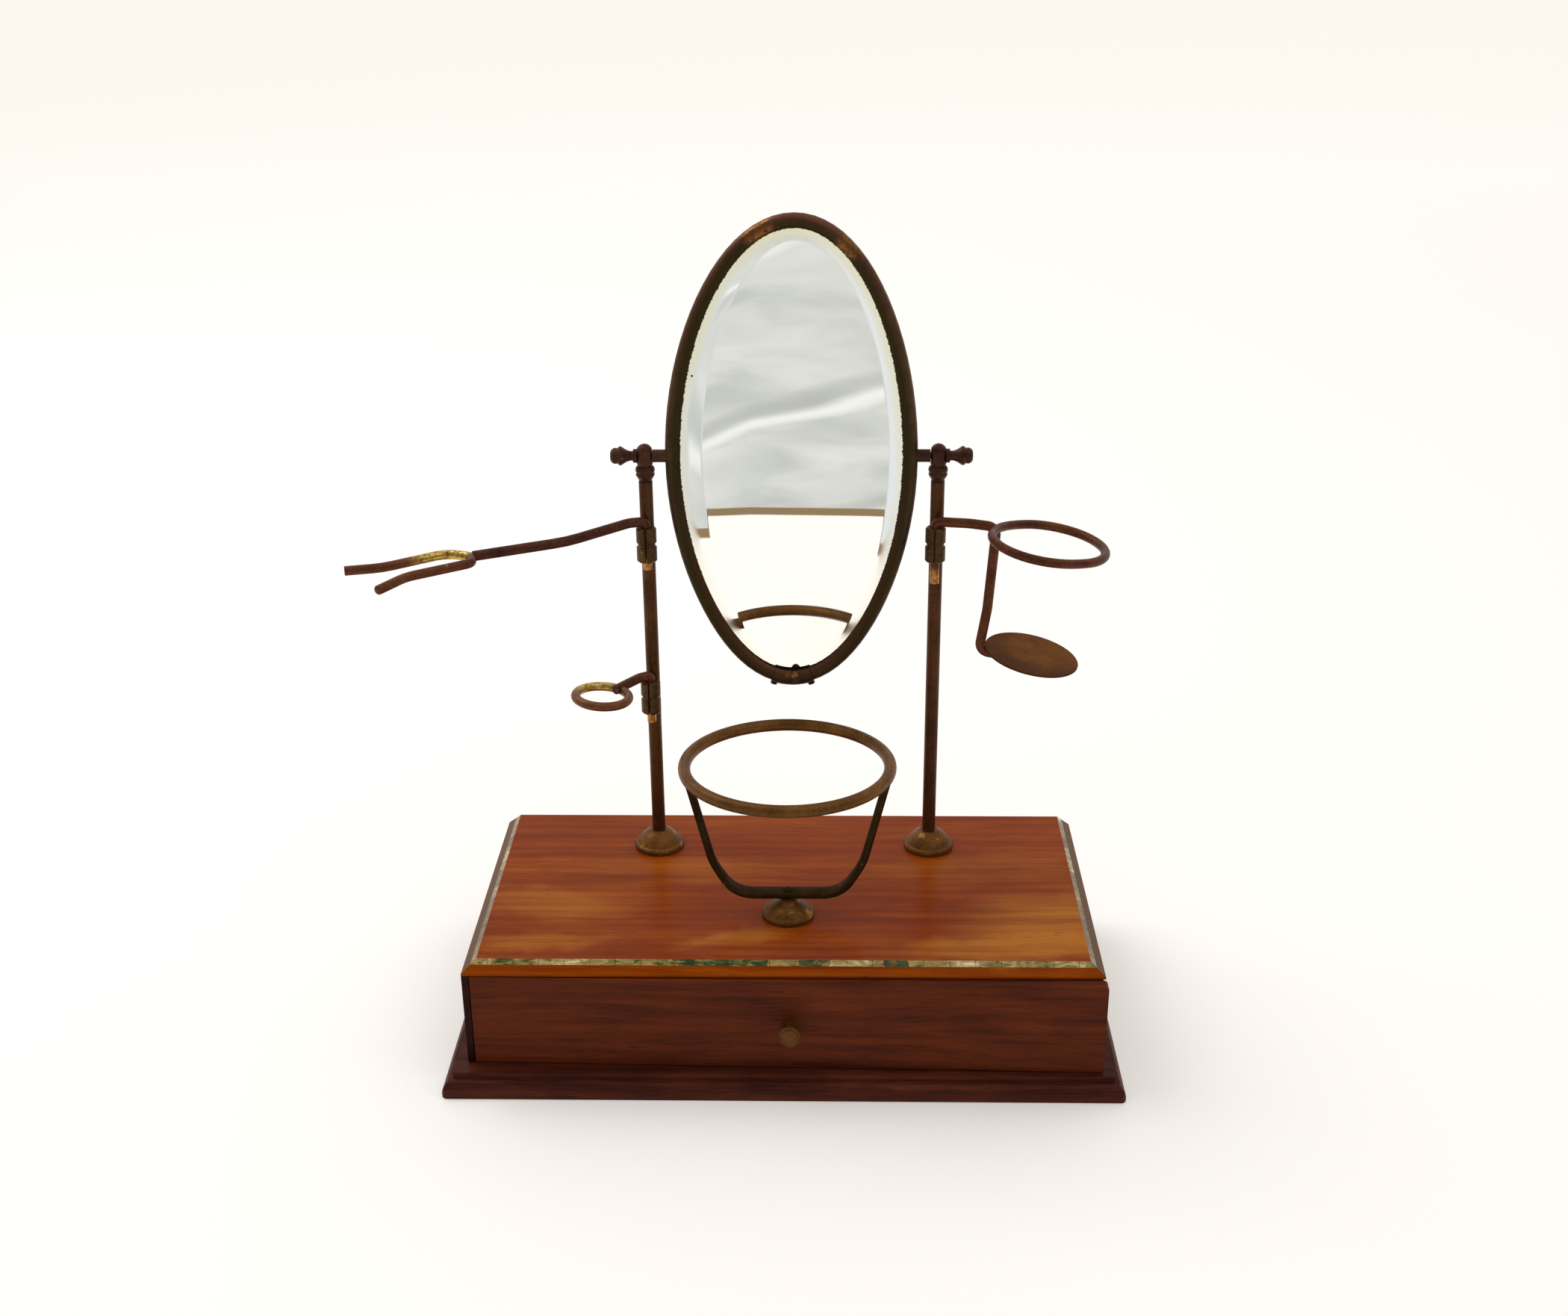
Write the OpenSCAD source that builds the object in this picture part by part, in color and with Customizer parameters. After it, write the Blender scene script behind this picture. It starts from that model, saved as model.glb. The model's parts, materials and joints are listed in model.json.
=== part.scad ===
// Victorian shaving stand: a moulded wooden base with one drawer, two slender
// brass posts that carry a tilting oval mirror, three swinging wire holders
// and a ring on a yoke for the shaving bowl.
// Millimetres. Origin: centre of the plinth's underside. +X right, +Y back, +Z up.

/* [Plinth] */
// Width of the plinth, left to right
plinth_w = 320; // [290:1:360]
// Depth of the plinth, front to back
plinth_d = 161.6; // [150:0.1:185]
// Height of the plinth up to its deck
plinth_h = 11.2; // [9.5:0.1:14]
// Height of the round along the plinth's edge
round_h = 8.2; // [6:0.1:9]
// Width of the round along the plinth's edge, seen from above
round_w = 4.9; // [3:0.1:7]
// Width of the step between the round and the deck
step_w = 0.5; // [0.2:0.1:1.5]
// How far the plinth stands out past the case at the sides
side_reveal = 11.4; // [8:0.1:14]
// How far the plinth stands out past the case at the front
front_reveal = 13.7; // [10:0.1:16]
// How far the plinth stands out past the case at the back
back_reveal = 2.3; // [0.5:0.1:5]
// Radius of the plinth's front corners, seen from above
plinth_corner_r = 3.5; // [1:0.1:5]

/* [Case] */
// Height of the case between the plinth and the top board
case_h = 47.9; // [42:0.1:60]
// Thickness of the case's side boards
side_t = 8; // [6:0.5:10]
// Thickness of the case's back board
back_t = 6; // [4:0.5:8]
// Width of the lip on the left side board that the drawer front closes inside
lip_w = 3.1; // [2:0.1:4]

/* [Top board] */
// Thickness of the top board
top_t = 5.6; // [5.3:0.1:9]
// Width of the top board's chamfer, seen from above
chamfer_w = 6.4; // [5:0.1:8]
// Height of the top board's chamfer
chamfer_h = 4.6; // [3.5:0.1:5.2]
// Width of the shell inlay along the chamfer's upper half, seen from above
inlay_w = 2.5; // [2:0.1:4]
// Thickness of the shell inlay
inlay_t = 1; // [0.6:0.1:1.2]
// Length of one piece of shell
shell_len = 12; // [8:1:20]
// Joint between two pieces of shell
shell_gap = 0.2; // [0.1:0.05:0.4]

/* [Drawer] */
// Thickness of the drawer front
front_t = 5.5; // [4:0.5:7]
// How far the drawer front stands past the right side board
front_lap = 0.9; // [0:0.1:2]
// Gap round the drawer front
front_gap = 0.5; // [0.3:0.1:1]
// Radius of the drawer front's worn upper right corner
front_corner_r = 1.8; // [0.5:0.1:4]
// How far the drawer has slewed in its worn case, in degrees
drawer_slew = 1.1; // [0:0.1:1.4]
// Depth of the drawer box behind its front
drawer_d = 116; // [90:1:120]
// Height of the drawer box
drawer_box_h = 34; // [25:1:38]
// Thickness of the drawer box's sides and back
drawer_wall = 5; // [4:0.5:7]
// Thickness of the drawer's bottom
drawer_floor_t = 3; // [2:0.5:4]
// Free play of the drawer box on each side, once it has slewed
drawer_play = 0.5; // [0.3:0.1:1]
// Diameter of the drawer knob's rim
drawer_knob_d = 10.2; // [8:0.1:14]
// Length of the drawer knob, from the drawer front to its face
drawer_knob_len = 10; // [8:0.1:14]
// Diameter of the drawer knob's screwed shank
drawer_shank_d = 3; // [2:0.1:4]

/* [Posts] */
// Distance between the two posts, centre to centre
post_gap = 138.2; // [136:0.1:150]
// How far the posts and mirror stand to the right of the base's centre
stand_x = 3.5; // [-10:0.1:10]
// Distance of the posts from the back of the case
post_inset = 31.5; // [25:0.5:45]
// Outer diameter of the post tubes
post_d = 6.6; // [6.2:0.1:7]
// Bore of the post tubes
post_bore_d = 4.4; // [3.5:0.1:4.8]
// Length of the post tubes above the top board
post_len = 196.5; // [190:0.5:230]
// Diameter of the turned feet
foot_d = 25; // [20:0.5:30]
// Height of the posts' feet
foot_h = 9.6; // [8:0.1:12]
// Diameter of the fixing screws' heads below the top board
screw_head_d = 8; // [6.5:0.5:10]
// Thickness of the fixing screws' heads
screw_head_h = 2.4; // [1.5:0.1:3]
// Depth of the fixing screws and cap spigots inside the posts
spigot_len = 10; // [6:0.5:14]
// Clearance on the radius of the holes through the top board
hole_clear = 0.2; // [0.1:0.05:0.4]

/* [Mirror pivots] */
// Diameter of the domed head on each post
head_d = 7.8; // [7.2:0.1:8.4]
// Height of the pivot above the top of the post tube
pivot_rise = 12.4; // [12:0.1:14]
// Diameter of the spindles that the mirror hangs on
spindle_d = 3; // [2.4:0.1:3.2]
// Running clearance on the radius of a spindle or pintle in its bore
running_fit = 0.05; // [0.02:0.01:0.09]
// Diameter of the turned knobs at their widest
knob_d = 9.2; // [8:0.1:12]
// Length of the turned knobs
knob_len = 10.7; // [9:0.1:14]
// Diameter of the washers under the knobs
washer_d = 6.6; // [6:0.1:8]
// Thickness of the washers
washer_t = 1.8; // [1:0.1:2.5]
// Diameter of the bosses on the mirror frame
boss_d = 6.1; // [5:0.1:6.8]
// Gap between the mirror's bosses and the heads of the posts
boss_gap = 0.3; // [0.2:0.05:0.6]

/* [Mirror] */
// Width of the mirror over its frame
mirror_w = 119; // [110:0.5:119]
// Height of the mirror over its frame
mirror_h = 230.3; // [200:0.5:240]
// Diameter of the frame's tube
frame_d = 7.2; // [6.4:0.1:8]
// Wall of the frame's tube
frame_wall = 1; // [0.7:0.1:1.4]
// Distance of the mirror's centre below its pivots
mirror_drop = 2; // [0:0.5:6]
// Thickness of the glass
glass_t = 3; // [2.5:0.1:4]
// Thickness of the glass at its bevelled edge
glass_edge_t = 1.5; // [1:0.1:1.7]
// Width of the glass's bevel, inside the frame
bevel_w = 9; // [6:0.5:12]
// Thickness of the backing sheet
backing_t = 0.8; // [0.5:0.1:1]
// Depth of the glass inside the frame's slot
glass_seat = 1.6; // [1:0.1:2]
// How much flatter the oval's upper shoulders are than a true ellipse's
upper_pinch = 0.7; // [0:0.1:2]
// How much flatter the oval's lower shoulders are than a true ellipse's
lower_pinch = 1.3; // [0:0.1:2]
// How far the oval's crown has been bent to the right
crown_sway = 1.8; // [-2:0.1:2]
// Length of the sleeve over the frame's joint
sleeve_len = 19; // [14:1:28]
// Wall of the sleeve over the frame's joint
sleeve_wall = 0.7; // [0.5:0.1:1.2]

/* [Hinge lugs] */
// Diameter of the hinge lugs
lug_d = 9.7; // [9:0.1:11]
// Height of the hinge lugs
lug_h = 17.2; // [14:0.1:22]
// Distance from a post's axis to its pintles
lug_reach = 6.6; // [6.3:0.1:7]
// Distance of the upper lugs' tops below the ends of the post tubes
upper_lug_drop = 20.8; // [16:0.1:40]
// Height of the lower lug's top above the top board
lower_lug_rise = 95.9; // [90:0.1:120]
// How far round its post the lower lug is turned to the left, in degrees
lower_lug_turn = 7; // [-10:1:10]
// How far round its post the right lug is turned to the left, in degrees
right_lug_turn = 7; // [-10:1:10]
// Diameter of the pintles
pintle_d = 4.9; // [4.9:0.1:5.2]
// Diameter of the pintles' tails below the lugs
tail_d = 4.4; // [3.6:0.1:4.8]
// Width of the slit down the front of each lug
lug_slit = 0.9; // [0.5:0.1:1.4]

/* [Wire] */
// Diameter of the holders' arms
arm_d = 4.8; // [4.2:0.1:4.8]
// Diameter of the wire in the fork and the rings
wire_d = 4.4; // [3.8:0.1:4.6]
// Radius of the bend from a pintle into its arm
pintle_bend = 2.6; // [2.5:0.1:4]

/* [Fork] */
// Direction of the fork's arm, in degrees
fork_dir = 212; // [185:1:260]
// Length of the fork's arm, from its pintle to the crotch
fork_reach = 87.5; // [60:0.5:100]
// How far the prongs turn back from the arm's direction, in degrees
fork_turn = 4; // [0:1:10]
// Length of the longer prong
prong_len = 56.5; // [50:1:70]
// Length of the fork's pintle below its lug
fork_tail = 4; // [2:0.5:12]

/* [Small ring] */
// Direction of the small ring's arm, in degrees
small_ring_dir = 230; // [190:1:260]
// Distance of the small ring's centre from its pintle
small_ring_reach = 32.5; // [30:0.1:50]
// Diameter of the small ring, to the centre of its wire
small_ring_d = 25.4; // [20:0.1:34]
// Length of the small ring's pintle below its lug
small_ring_tail = 5; // [2:0.5:12]

/* [Tumbler holder] */
// Diameter of the tumbler ring, to the centre of its wire
tumbler_ring_d = 49; // [44:0.2:56]
// How far the tumbler ring is drawn out of round, towards the front of its rod
tumbler_draw = 5.6; // [3:0.1:8]
// How far the tumbler ring's centre lies to the right of its pintle
tumbler_x = 54; // [50:0.1:64]
// How far the tumbler ring's centre lies in front of its pintle
tumbler_y = 15; // [10:0.1:20]
// How far the tumbler ring's centre has sagged below its arm
tumbler_sag = 5.5; // [4:0.1:8]
// Lean of the tumbler ring and disc, in degrees
tumbler_lean = 9; // [0:0.5:12]
// Distance of the disc below the ring
disc_drop = 57; // [45:0.5:70]
// Diameter of the disc
disc_d = 45.4; // [40:0.2:50]
// Thickness of the disc
disc_t = 1.2; // [0.8:0.1:2]
// Length of the tumbler holder's pintle below its lug
tumbler_tail = 11; // [2:0.5:14]

/* [Bowl stand] */
// How far the bowl stand is to the right of the base's centre
bowl_x = 2; // [-10:0.5:10]
// How far the bowl stand is in front of the base's centre
bowl_y = 20.7; // [10:0.1:30]
// Height of the bowl stand's foot up to its neck
bowl_foot_h = 7.6; // [6:0.1:10]
// Height of the yoke's underside above the top board
bowl_neck_h = 10.4; // [9:0.1:16]
// Diameter of the neck under the yoke
bowl_neck_d = 8.4; // [7:0.1:10]
// Diameter of the bolt through the bowl stand
bowl_bolt_d = 2.6; // [2:0.1:3.2]
// Width of the yoke's flat bar
yoke_bar_w = 8; // [6:0.1:9]
// Thickness of the yoke's flat bar
yoke_bar_t = 3.3; // [2:0.1:4]
// Diameter of the yoke's arms at the ring
yoke_arm_d = 4; // [3:0.1:5]
// Diameter of the bowl ring, to the centre of its rod
bowl_ring_d = 95.8; // [80:0.2:110]
// Diameter of the bowl ring's rod
bowl_rod_d = 5.8; // [4.5:0.1:7]
// Height of the bowl ring's centre above the top board
bowl_ring_rise = 80; // [70:0.5:95]
// Lean of the bowl ring, its front edge up, in degrees
bowl_ring_lean = 2.2; // [0:0.1:4]

/* [Hidden] */
$fn = 64;

rosewood = "#4a2015";
rosewood_light = "#5c2a1a";
satinwood = "#8a4620";
pine = "#b98d5c";
shell = "#8f9a62";
old_brass = "#5f432b";
worn_brass = "#7d6138";
steel = "#77736c";

// Base: levels and edges
front_y = -plinth_d / 2 + front_reveal;
back_y = plinth_d / 2 - back_reveal;
case_w = plinth_w - 2 * side_reveal;
case_d = back_y - front_y;
case_top_z = plinth_h + case_h;
top_z = case_top_z + top_t;
inner_w = case_w - 2 * side_t;
over = 1;

// Drawer: its front runs from inside the left lip to past the right side board
front_x0 = -case_w / 2 + lip_w + front_gap;
front_w = case_w / 2 + front_lap - front_x0;
front_h = case_h - 2 * front_gap;
slew_run = (front_t + drawer_d) * sin(drawer_slew);
drawer_box_w = inner_w - slew_run - 2 * drawer_play;
drawer_box_x = side_t - lip_w - front_gap + drawer_play;
rebate_d = front_t + front_gap;

// Posts and pivots
post_y = back_y - post_inset;
left_x = stand_x - post_gap / 2;
right_x = stand_x + post_gap / 2;
head_z = top_z + post_len;
pivot_z = head_z + pivot_rise;
head_flat = head_d / 2 - 0.4;
bore_r = spindle_d / 2 + running_fit;
boss_face = post_gap / 2 - head_flat - boss_gap;
spindle_in = 3;

// Mirror
mirror_z = pivot_z - mirror_drop;
frame_a = (mirror_w - frame_d) / 2;
frame_b = (mirror_h - frame_d) / 2;
seat_clear = 0.1;
slot_w = glass_edge_t + backing_t + 3 * seat_clear;
glass_inset = sqrt(pow(frame_d / 2, 2) - pow(slot_w / 2, 2)) - glass_seat;
glass_back_y = slot_w / 2 - backing_t - 2 * seat_clear;
frame_steps = 84;
joint_half_gap = 0.3;

// Lugs and pintles
upper_lug_z = head_z - upper_lug_drop;
lower_lug_z = top_z + lower_lug_rise;
pintle_bore_d = pintle_d + 2 * running_fit;
arm_clear = 0.3;
arm_rise = arm_clear + arm_d / 2;
wire_start = 1.5;

// Bowl stand
bar_z = top_z + bowl_neck_h;
bowl_ring_z = top_z + bowl_ring_rise;
braze = 0.6;

// ---------- Helpers ----------

function unit(v) = v / norm(v);

// Points on a shallow bow from a to b, with its crown off to the right by bulge.
function bow(a, b, bulge, steps = 6) =
    let (across = [b[1] - a[1], a[0] - b[0]] / norm(b - a))
    [for (i = [0:steps]) let (t = i / steps) a + (b - a) * t + across * 4 * bulge * t * (1 - t)];

// Points and directions along a polyline whose corners are rounded to radii.
function corner(p, u, v, r, step) =
    let (turn = acos(max(-1, min(1, u * v))),
         start = p - u * r * tan(turn / 2),
         inward = unit(v - u * (u * v)),
         n = max(2, ceil(turn / step)))
    [for (i = [0:n]) let (f = turn * i / n)
        [start + inward * r * (1 - cos(f)) + u * r * sin(f), u * cos(f) + inward * sin(f)]];
function rounded_path(pts, radii, step = 12) =
    let (n = len(pts), dirs = [for (i = [0:n - 2]) unit(pts[i + 1] - pts[i])])
    concat([[pts[0], dirs[0]]],
        [for (i = [1:n - 2]) each corner(pts[i], dirs[i - 1], dirs[i], radii[i - 1], step)],
        [[pts[n - 1], dirs[n - 2]]]);

// Side vectors carried along a path without twist.
function carried(path, side, i = 0) = i >= len(path) ? [] :
    let (t = path[i][1], s = unit(side - t * (side * t)))
    concat([s], carried(path, s, i + 1));
function first_side(t) = abs(t[2]) < 0.9 ? cross(t, [0, 0, 1]) : [0, 1, 0];

// Skin over a list of rings of points, with flat ends, or closed on itself. The ends of
// a slotted section are strips between its outer and its inner points.
module skin(rings, closed = false, slotted = false) {
    n = len(rings);
    m = len(rings[0]);
    last = closed ? n - 1 : n - 2;
    sides = [for (i = [0:last], j = [0:m - 1])
        let (a = i * m + j, b = i * m + (j + 1) % m,
             d = ((i + 1) % n) * m + j, c = ((i + 1) % n) * m + (j + 1) % m)
        each [[a, c, b], [a, d, c]]];
    ends = slotted ? [for (j = [0:m / 2 - 2]) [j, j + 1, m - 2 - j, m - 1 - j]] : [[for (j = [0:m - 1]) j]];
    caps = closed ? [] : concat(ends,
        [for (e = ends) [for (i = [len(e) - 1:-1:0]) (n - 1) * m + e[i]]]);
    polyhedron(points = [for (r = rings) each r], faces = concat(sides, caps), convexity = 10);
}

// Round wire along a path. A tip above 0 domes the last end by that share of the radius.
module wire(path, d, tip = 0, sides = 14) {
    far = path[len(path) - 1];
    dome = tip == 0 ? [] : [for (f = [30, 60, 80])
        [far[0] + far[1] * d / 2 * tip * sin(f), far[1], cos(f)]];
    stations = concat([for (p = path) [p[0], p[1], 1]], dome);
    side = carried(stations, first_side(path[0][1]));
    skin([for (i = [0:len(stations) - 1])
        let (s = side[i], w = cross(stations[i][1], s), r = stations[i][2] * d / 2)
        [for (j = [0:sides - 1]) let (f = 360 * j / sides)
            stations[i][0] + (s * cos(f) + w * sin(f)) * r]]);
}

// Turned piece: a profile of [radius, height] points, down to an inner radius.
module turned(profile, inner_r = 0) {
    last = profile[len(profile) - 1];
    rotate_extrude() polygon(concat([[inner_r, profile[0][1]]], profile, [[inner_r, last[1]]]));
}

// ---------- Base ----------

// Half of the plinth's section: its outer edge, from the bottom to the deck.
plinth_arris = 0.4;
plinth_edge = concat([[plinth_arris, 0]],
    [for (f = [5:8.5:90]) [round_w * (1 - cos(f)), round_h * sin(f)]],
    [[round_w + step_w, round_h], [round_w + step_w, plinth_h]]);

module plinth_block() intersection() {
    translate([-plinth_w / 2, 0, 0]) rotate([90, 0, 90]) linear_extrude(plinth_w)
        polygon(concat([for (p = plinth_edge) [p[0] - plinth_d / 2, p[1]]],
            [[plinth_d / 2, plinth_h], [plinth_d / 2, 0]]));
    translate([0, plinth_d / 2, 0]) rotate([90, 0, 0]) linear_extrude(plinth_d)
        polygon(concat([for (p = plinth_edge) [p[0] - plinth_w / 2, p[1]]],
            [for (i = [len(plinth_edge) - 1:-1:0]) [plinth_w / 2 - plinth_edge[i][0], plinth_edge[i][1]]]));
    linear_extrude(plinth_h) union() {
        translate([-plinth_w / 2, plinth_corner_r - plinth_d / 2])
            square([plinth_w, plinth_d - plinth_corner_r]);
        for (s = [-1, 1]) translate([s * (plinth_w / 2 - plinth_corner_r), plinth_corner_r - plinth_d / 2])
            circle(r = plinth_corner_r);
        translate([plinth_corner_r - plinth_w / 2, -plinth_d / 2])
            square([plinth_w - 2 * plinth_corner_r, plinth_d]);
    }
}

// The plinth is screwed up into the side boards, two screws on each side.
plinth_screw_d = 3;
plinth_screw_head_d = 6.4;
plinth_screw_head_h = 2;
plinth_screw_len = 24;
plinth_screw_inset = 30;
module at_plinth_screws() for (x = [-1, 1], y = [front_y + plinth_screw_inset, back_y - plinth_screw_inset])
    translate([x * (case_w - side_t) / 2, y, 0]) children();
module plinth_screw() {
    translate([0, 0, 0.3]) cylinder(d = plinth_screw_head_d, h = plinth_screw_head_h);
    cylinder(d = plinth_screw_d, h = plinth_screw_len);
}
module plinth_screw_cut() {
    translate([0, 0, -over]) cylinder(d = plinth_screw_head_d, h = over + 0.3 + plinth_screw_head_h);
    cylinder(d = plinth_screw_d, h = plinth_screw_len);
}

module plinth() color(rosewood) difference() {
    plinth_block();
    at_plinth_screws() plinth_screw_cut();
}
module plinth_screws() color(steel) at_plinth_screws() difference() {
    plinth_screw();
    translate([-plinth_screw_head_d / 2, -0.4, -over]) cube([plinth_screw_head_d, 0.8, over + 1.1]);
}

module side_board() translate([-side_t / 2, front_y, plinth_h]) cube([side_t, case_d, case_h]);
module left_side() color(rosewood) difference() {
    translate([-(case_w - side_t) / 2, 0, 0]) side_board();
    translate([-case_w / 2 + lip_w, front_y - over, plinth_h - over])
        cube([side_t, rebate_d + over, case_h + 2 * over]);
    at_plinth_screws() plinth_screw_cut();
}
module right_side() color(rosewood) difference() {
    translate([(case_w - side_t) / 2, 0, 0]) side_board();
    translate([case_w / 2 - side_t - over, front_y - over, plinth_h - over])
        cube([side_t + 2 * over, rebate_d + over, case_h + 2 * over]);
    at_plinth_screws() plinth_screw_cut();
}
module back_board() color(rosewood_light)
    translate([-inner_w / 2, back_y - back_t, plinth_h]) cube([inner_w, back_t, case_h]);

// The top board's front or side edge, as [inset, height below the top] points.
edge_slope = chamfer_h / chamfer_w;
inlay_drop = inlay_w * edge_slope;
inlay_sink = inlay_t / cos(atan(edge_slope));
board_edge = [[0, -top_t], [0, -chamfer_h], [chamfer_w, 0]];
inlay_section = [[chamfer_w, 0], [chamfer_w, -inlay_sink],
    [chamfer_w - inlay_w, -inlay_drop - inlay_sink], [chamfer_w - inlay_w, -inlay_drop]];

module board_block() intersection() {
    translate([-case_w / 2, front_y, top_z]) rotate([90, 0, 90]) linear_extrude(case_w)
        polygon(concat(board_edge, [[case_d, 0], [case_d, -top_t]]));
    translate([0, back_y, top_z]) rotate([90, 0, 0]) linear_extrude(case_d)
        polygon(concat([for (p = board_edge) [p[0] - case_w / 2, p[1]]],
            [for (i = [2:-1:0]) [case_w / 2 - board_edge[i][0], board_edge[i][1]]]));
}
// Strips of inlay, mitred at the front corners.
module front_strip() intersection() {
    translate([-case_w / 2, front_y, top_z]) rotate([90, 0, 90]) linear_extrude(case_w)
        polygon(inlay_section);
    translate([0, front_y, top_z - top_t]) linear_extrude(top_t + over) polygon([
        [-case_w / 2, 0], [case_w / 2, 0],
        [case_w / 2 - 2 * chamfer_w, 2 * chamfer_w], [2 * chamfer_w - case_w / 2, 2 * chamfer_w]]);
}
module left_strip() intersection() {
    translate([-case_w / 2, back_y, top_z]) rotate([90, 0, 0]) linear_extrude(case_d)
        polygon(inlay_section);
    translate([-case_w / 2, front_y, top_z - top_t]) linear_extrude(top_t + over) polygon([
        [0, 0], [0, case_d], [2 * chamfer_w, case_d], [2 * chamfer_w, 2 * chamfer_w]]);
}
module top_board() color(satinwood) difference() {
    board_block();
    front_strip();
    left_strip();
    mirror([1, 0, 0]) left_strip();
    for (x = [left_x, right_x]) translate([x, post_y, case_top_z - over])
        cylinder(d = post_bore_d + 2 * hole_clear, h = top_t + 2 * over);
    translate([bowl_x, -bowl_y, case_top_z - over])
        cylinder(d = bowl_bolt_d + 2 * hole_clear, h = top_t + 2 * over);
}

// Pieces of shell: the strip cut into equal lengths along x or y.
module shell_front() {
    count = max(1, round(case_w / shell_len));
    pitch = case_w / count;
    intersection() {
        front_strip();
        union() for (i = [0:count - 1])
            translate([-case_w / 2 + i * pitch + (i == 0 ? -over : shell_gap / 2), front_y, top_z - top_t])
                cube([pitch - (i == 0 || i == count - 1 ? -over + shell_gap / 2 : shell_gap),
                    2 * chamfer_w, top_t + over]);
    }
}
module shell_side() {
    count = max(1, round(case_d / shell_len));
    pitch = case_d / count;
    intersection() {
        left_strip();
        union() for (i = [0:count - 1])
            translate([-case_w / 2, front_y + i * pitch + (i == 0 ? -over : shell_gap / 2), top_z - top_t])
                cube([2 * chamfer_w,
                    pitch - (i == 0 || i == count - 1 ? -over + shell_gap / 2 : shell_gap), top_t + over]);
    }
}
module inlay_front() color(shell) shell_front();
module inlay_left() color(shell) shell_side();
module inlay_right() color(shell) mirror([1, 0, 0]) shell_side();

// ---------- Drawer ----------

// The drawer's own frame: origin at the front's lower left outer corner, turned by the slew.
module in_drawer() translate([front_x0, front_y, plinth_h + front_gap]) rotate([0, 0, -drawer_slew])
    children();
knob_x = front_w / 2 + 1.2;
knob_z = 0.48 * front_h;

module drawer_front() color(rosewood_light) in_drawer() difference() {
    translate([0, front_t, 0]) rotate([90, 0, 0]) linear_extrude(front_t) union() {
        square([front_w, front_h - front_corner_r]);
        square([front_w - front_corner_r, front_h]);
        translate([front_w - front_corner_r, front_h - front_corner_r]) circle(r = front_corner_r);
    }
    translate([knob_x, -over, knob_z]) rotate([-90, 0, 0])
        cylinder(d = drawer_shank_d, h = front_t + 2 * over);
}
module drawer_wall_board() cube([drawer_wall, drawer_d, drawer_box_h]);
module drawer_left_side() color(pine) in_drawer() translate([drawer_box_x, front_t, 0]) drawer_wall_board();
module drawer_right_side() color(pine) in_drawer()
    translate([drawer_box_x + drawer_box_w - drawer_wall, front_t, 0]) drawer_wall_board();
module drawer_back() color(pine) in_drawer()
    translate([drawer_box_x + drawer_wall, front_t + drawer_d - drawer_wall, drawer_floor_t])
        cube([drawer_box_w - 2 * drawer_wall, drawer_wall, drawer_box_h - drawer_floor_t]);
module drawer_floor() color(pine) in_drawer()
    translate([drawer_box_x + drawer_wall, front_t, 0])
        cube([drawer_box_w - 2 * drawer_wall, drawer_d, drawer_floor_t]);

module drawer_knob() color(worn_brass) in_drawer() translate([knob_x, 0, knob_z]) rotate([90, 0, 0]) {
    r = drawer_knob_d / 2;
    face_z = drawer_knob_len;
    turned(concat([[0.72 * r, 0], [0.69 * r, 1]],
        bow([0.67 * r, 1.6], [0.8 * r, face_z - 3.2], -0.35),
        bow([r, face_z - 2.4], [r, face_z - 1.2], 0.25),
        [[0.86 * r, face_z - 1], [0.86 * r, face_z - 0.4], [0.8 * r, face_z]]));
    translate([0, 0, -front_t]) cylinder(d = drawer_shank_d, h = front_t);
}

// ---------- Posts ----------

foot_r = foot_d / 2;
rim_h = 2.9;
function foot_profile(h, lip_r) = concat([[foot_r - 0.2, 0], [foot_r, 0.5], [foot_r, 1.7]],
    bow([foot_r - 0.3, 2.3], [foot_r - 1.1, rim_h], 0.12, 3),
    bow([foot_r - 1.4, rim_h + 0.2], [lip_r + 0.6, h - 0.5], 0.55),
    [[lip_r, h]]);

module foot() turned(foot_profile(foot_h, post_d / 2 + 1.4), post_d / 2);
module post() difference() {
    cylinder(d = post_d, h = post_len);
    translate([0, 0, -over]) cylinder(d = post_bore_d, h = post_len + 2 * over);
}
// Domed head with a two-bead collar. Heights are from the end of the tube.
head_dome_z = pivot_rise + 2;
module post_head() difference() {
    r = head_d / 2;
    union() {
        turned(concat([[2.9, 0], [3, 0.5], [r + 0.5, 3]],
            bow([r + 0.5, 3], [r + 0.3, 4.2], 0.2, 3),
            bow([r + 0.35, 4.4], [r + 0.2, 7.2], 0.45),
            [[r - 0.5, 7.6], [r - 0.1, 8.8], [r, 9.8], [r, head_dome_z]],
            [for (f = [15:15:90]) [r * cos(f), head_dome_z + r * sin(f)]]));
        translate([0, 0, -spigot_len]) cylinder(d = post_bore_d, h = spigot_len);
    }
    translate([-head_d, 0, pivot_rise]) rotate([0, 90, 0]) cylinder(r = bore_r, h = 2 * head_d);
    for (s = [-1, 1]) translate([s * (head_flat + head_d / 2), 0, pivot_rise])
        cube([head_d, head_d, max(washer_d, boss_d) + 0.4], center = true);
}
module post_screw() translate([0, 0, -top_t]) {
    translate([0, 0, -screw_head_h]) cylinder(d = screw_head_d, h = screw_head_h);
    cylinder(d = post_bore_d, h = top_t + spigot_len);
}
module at_post(x, z) translate([x, post_y, z]) children();

module left_foot() color(worn_brass) at_post(left_x, top_z) foot();
module right_foot() color(worn_brass) at_post(right_x, top_z) foot();
module left_post() color(old_brass) at_post(left_x, top_z) post();
module right_post() color(old_brass) at_post(right_x, top_z) post();
module post_screws() color(steel) for (x = [left_x, right_x]) at_post(x, top_z) post_screw();
module left_post_head() color(old_brass) at_post(left_x, head_z) post_head();
module right_post_head() color(old_brass) at_post(right_x, head_z) post_head();

// ---------- Mirror pivots ----------

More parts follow.
